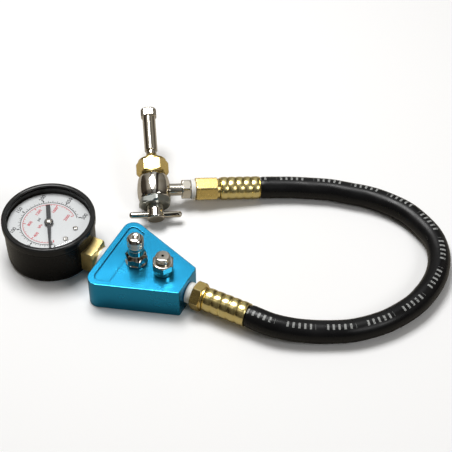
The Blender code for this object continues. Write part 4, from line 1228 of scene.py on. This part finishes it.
def make_valve_tube():
    """The swivelling tube with its fluted mouth, the neck that shows below it and the brass nut."""
    profile = fillet([
        (1.5, 28.0), (2.2, 28.0), (2.2, 24.6), (3.0, 24.6, 0.1), (3.0, 22.6, 0.1), (2.5, 22.6),
        (2.5, 16.8), (4.9, 16.8), (4.9, 13.8), (3.7, 13.8), (3.7, 8.6), (1.5, 8.6),
    ])
    neck = turned("tube_neck", profile, CHUCK, ring=True, around=72)
    finish_piece(neck, NICKEL, "nickel", "swivel_tube", "valve_tube_stem")
    profile = fillet([
        (3.85, 52.3, 0.1), (4.35, 52.3, 0.15), (4.6, 52.0, 0.1), (4.6, 47.3, 0.1),
        (4.4, 47.0, 0.1), (3.8, 47.0, 0.05), (3.75, 25.3, 0.2), (3.4, 24.9, 0.15), (2.35, 24.9),
        (2.35, 28.3), (1.5, 28.3), (1.5, 47.6), (3.85, 47.6),
    ])
    profile = refine(profile, 0.35, 47.2, 52.2)
    tube = turned("valve_barrel", profile, CHUCK, [fluted_mouth], True, around=240)
    finish_piece(tube, NICKEL, "nickel", "swivel_tube", "valve_tube")
    profile = fillet([(1.35, 48.4, 0.15), (3.7, 48.4, 0.15), (3.7, 47.8), (1.35, 47.8)])
    gasket = turned("mouth_seal", profile, CHUCK, ring=True, around=48)
    finish_piece(gasket, SEAL_RUBBER, "seal_rubber", "swivel_tube", "mouth_gasket")

    flats = 16.5
    corner = flats / math.sqrt(3)
    turn = -6.0
    profile = fillet([
        (2.65, 22.4), (3.2, 22.4, 0.15), (3.6, 21.2, 0.5), (5.2, 19.9, 0.8), (7.6, 19.0, 0.4),
        (8.2, 18.4, 0.3), (8.2, 17.2, 0.1), (corner - 0.7, 17.1, 0.15), (corner, 16.6, 0.15),
        (corner, 10.6, 0.15), (corner - 0.7, 10.1, 0.15), (8.15, 10.0, 0.1), (8.15, 8.9, 0.2),
        (6.45, 8.9), (6.45, 17.2), (2.65, 17.2),
    ])
    nut = turned("tube_union", profile, CHUCK, [hexagon(flats, 10.05, 17.15, turn)], True,
                 turn=turn)
    finish_piece(nut, BRASS, "brass", BODY, "tube_nut")


def fluted_mouth(radius, height, edge, angle):
    """Relief: the flutes on the outside of the tube's mouth only."""
    pressed, height, worn = flutes(24, 47.3, 52.0, 0.26)(radius, height, edge, angle)
    outside = radius > 4.2
    return np.where(outside, pressed, radius), height, np.where(outside, worn, edge)


# ---- CAD nodes that stay, floor and light -----------------------------------------------------------

def dress_hidden_nodes():
    """Give every CAD node that still shows the material of its kind."""
    kinds = {
        "hose_tail": SEAL_RUBBER, "seal": SEAL_RUBBER, "fill_core": BRASS, "bourdon": STEM_BRASS,
        "movement": BRASS, "sector": BRASS, "pointer_arbor": BRASS, "dial_post": BRASS,
        "plunger": STEEL, "spring": STEEL,
    }
    for name, obj in frame["nodes"].items():
        for word, material in kinds.items():
            if word in name:
                obj.data.materials.clear()
                obj.data.materials.append(material)


def add_floor():
    """A wide floor, pale to the eye and greyer in what the metal mirrors."""
    size = 3.0
    mesh = bpy.data.meshes.new("floor")
    mesh.from_pydata([(-size, -size, 0), (size, -size, 0), (size, size, 0), (-size, size, 0)], [],
                     [(0, 1, 2, 3)])
    floor = bpy.data.objects.new("floor", mesh)
    floor.location.z = -0.0002
    material = bpy.data.materials.new("pale_floor")
    material.use_nodes = True
    tree = material.node_tree
    shader = tree.nodes["Principled BSDF"]
    shader.inputs["Roughness"].default_value = 0.9
    shader.inputs["Specular IOR Level"].default_value = 0.05
    seen = tree.nodes.new("ShaderNodeLightPath")
    mix = tree.nodes.new("ShaderNodeMix")
    mix.data_type = "RGBA"
    mix.inputs[6].default_value = (*MIRRORED_FLOOR, 1.0)
    mix.inputs[7].default_value = (*PALE_FLOOR, 1.0)
    tree.links.new(seen.outputs["Is Camera Ray"], mix.inputs["Factor"])
    tree.links.new(mix.outputs[2], shader.inputs["Base Color"])
    mesh.materials.append(material)
    bpy.context.scene.collection.objects.link(floor)


def add_area_light(name, place, target, size, power):
    """A soft rectangular lamp that faces a point."""
    lamp = bpy.data.lights.new(name, "AREA")
    lamp.shape = "RECTANGLE"
    lamp.size, lamp.size_y = size
    lamp.energy = power
    obj = bpy.data.objects.new(name, lamp)
    obj.location = place
    obj.rotation_euler = (Vector(target) - Vector(place)).to_track_quat("-Z", "Y").to_euler()
    bpy.context.scene.collection.objects.link(obj)


def add_ramp(tree, position, shades):
    """A colour ramp read at a socket; shades are (position, colour) pairs."""
    ramp = tree.nodes.new("ShaderNodeValToRGB")
    tree.links.new(position, ramp.inputs["Fac"])
    stops = ramp.color_ramp.elements
    while len(stops) < len(shades):
        stops.new(1.0)
    for stop, (place, colour) in zip(stops, shades):
        stop.position = place
        stop.color = (*colour, 1.0)
    return ramp.outputs["Color"]


def add_room():
    """A warm dark room, as the metal mirrors it, with a pale backdrop behind the floor.

    A pale strip of ceiling runs from overhead to the back wall. The shade is a ramp across the
    room, times one that darkens towards the skirting, times one that darkens the near side.
    """
    world = bpy.data.worlds.new("room")
    world.use_nodes = True
    tree = world.node_tree
    way = tree.nodes.new("ShaderNodeTexCoord")
    split = tree.nodes.new("ShaderNodeSeparateXYZ")
    tree.links.new(way.outputs["Generated"], split.inputs[0])
    across = math_node(tree, "MULTIPLY_ADD", split.outputs["X"], 0.5, 0.5)
    depth = math_node(tree, "MULTIPLY_ADD", split.outputs["Y"], 0.5, 0.5)
    shade = add_ramp(tree, across, ROOM_ACROSS)
    for position, ramp in ((split.outputs["Z"], ROOM_HEIGHT), (depth, ROOM_DEPTH)):
        mix = tree.nodes.new("ShaderNodeMix")
        mix.data_type = "RGBA"
        mix.blend_type = "MULTIPLY"
        mix.inputs["Factor"].default_value = 1.0
        tree.links.new(shade, mix.inputs[6])
        tree.links.new(add_ramp(tree, position, ramp), mix.inputs[7])
        shade = mix.outputs[2]
    seen = tree.nodes.new("ShaderNodeLightPath")
    backdrop = tree.nodes.new("ShaderNodeMix")
    backdrop.data_type = "RGBA"
    backdrop.inputs[7].default_value = (*BACKDROP, 1.0)
    tree.links.new(seen.outputs["Is Camera Ray"], backdrop.inputs["Factor"])
    tree.links.new(shade, backdrop.inputs[6])
    tree.links.new(backdrop.outputs[2], tree.nodes["Background"].inputs["Color"])
    tree.nodes["Background"].inputs["Strength"].default_value = 1.0
    bpy.context.scene.world = world
    bpy.context.scene.view_settings.view_transform = "Standard"


BACKDROP = (0.92, 0.92, 0.92)
PALE_FLOOR = (0.93, 0.93, 0.93)
MIRRORED_FLOOR = (0.36, 0.33, 0.28)
ROOM_ACROSS = [
    (0.0, (0.10, 0.08, 0.06)), (0.11, (0.10, 0.08, 0.06)), (0.17, (0.46, 0.42, 0.36)),
    (0.33, (0.55, 0.52, 0.47)), (0.38, (0.16, 0.13, 0.10)), (0.42, (0.20, 0.18, 0.15)),
    (0.46, (0.56, 0.56, 0.55)), (0.59, (0.88, 0.88, 0.86)), (0.64, (0.03, 0.025, 0.02)),
    (0.71, (0.03, 0.025, 0.02)), (0.77, (0.44, 0.41, 0.35)), (0.90, (0.36, 0.33, 0.28)),
    (1.0, (0.08, 0.06, 0.05)),
]
ROOM_HEIGHT = [(0.0, (0.30, 0.30, 0.30)), (0.25, (0.45, 0.45, 0.45)), (0.60, (0.55, 0.55, 0.55)),
               (0.82, (0.72, 0.72, 0.72)), (0.92, (1.0, 1.0, 1.0))]
ROOM_DEPTH = [(0.0, (0.30, 0.30, 0.30)), (0.40, (0.34, 0.34, 0.34)), (0.50, (1.0, 1.0, 1.0))]


def add_light():
    """A small soft box high above, and a weaker one in front to the right."""
    centre = (0.04, 0.04, 0.0)
    add_area_light("key", (-0.12, 0.26, 0.85), centre, (0.42, 0.38), 7.0)
    add_area_light("fill", (0.55, -0.45, 0.60), centre, (0.30, 0.30), 1.6)


add_camera()
make_hose()
make_block()
make_fill_valve()
make_bleed_valve()
make_bleed_spring()
make_tapes()
make_nipple("brass_nipple_manifold", HOSE_PORT, (-9.0, 5.0), (4.2, 9.6), (10.7, 34.0), 14.3, 16.5,
            "hose_nipple_manifold")
make_ferrule("crimp_manifold", HOSE_PORT, 11.0, 36.2, 26.4, 0.06, "ferrule_manifold")
make_nipple("brass_nipple_chuck", INLET, (16.8, 4.0), (24.3, 36.6), (38.1, 59.5), 12.7, -7.0,
            "hose_nipple_chuck")
make_ferrule("crimp_chuck", INLET, 38.4, 61.8, 16.5, 0.02, "ferrule_chuck")
make_gauge_shell()
make_dial()
make_pointer()
make_stem()
make_inlet()
make_barrel()
make_spindle()
make_valve_tube()
dress_hidden_nodes()
add_floor()
add_room()
add_light()
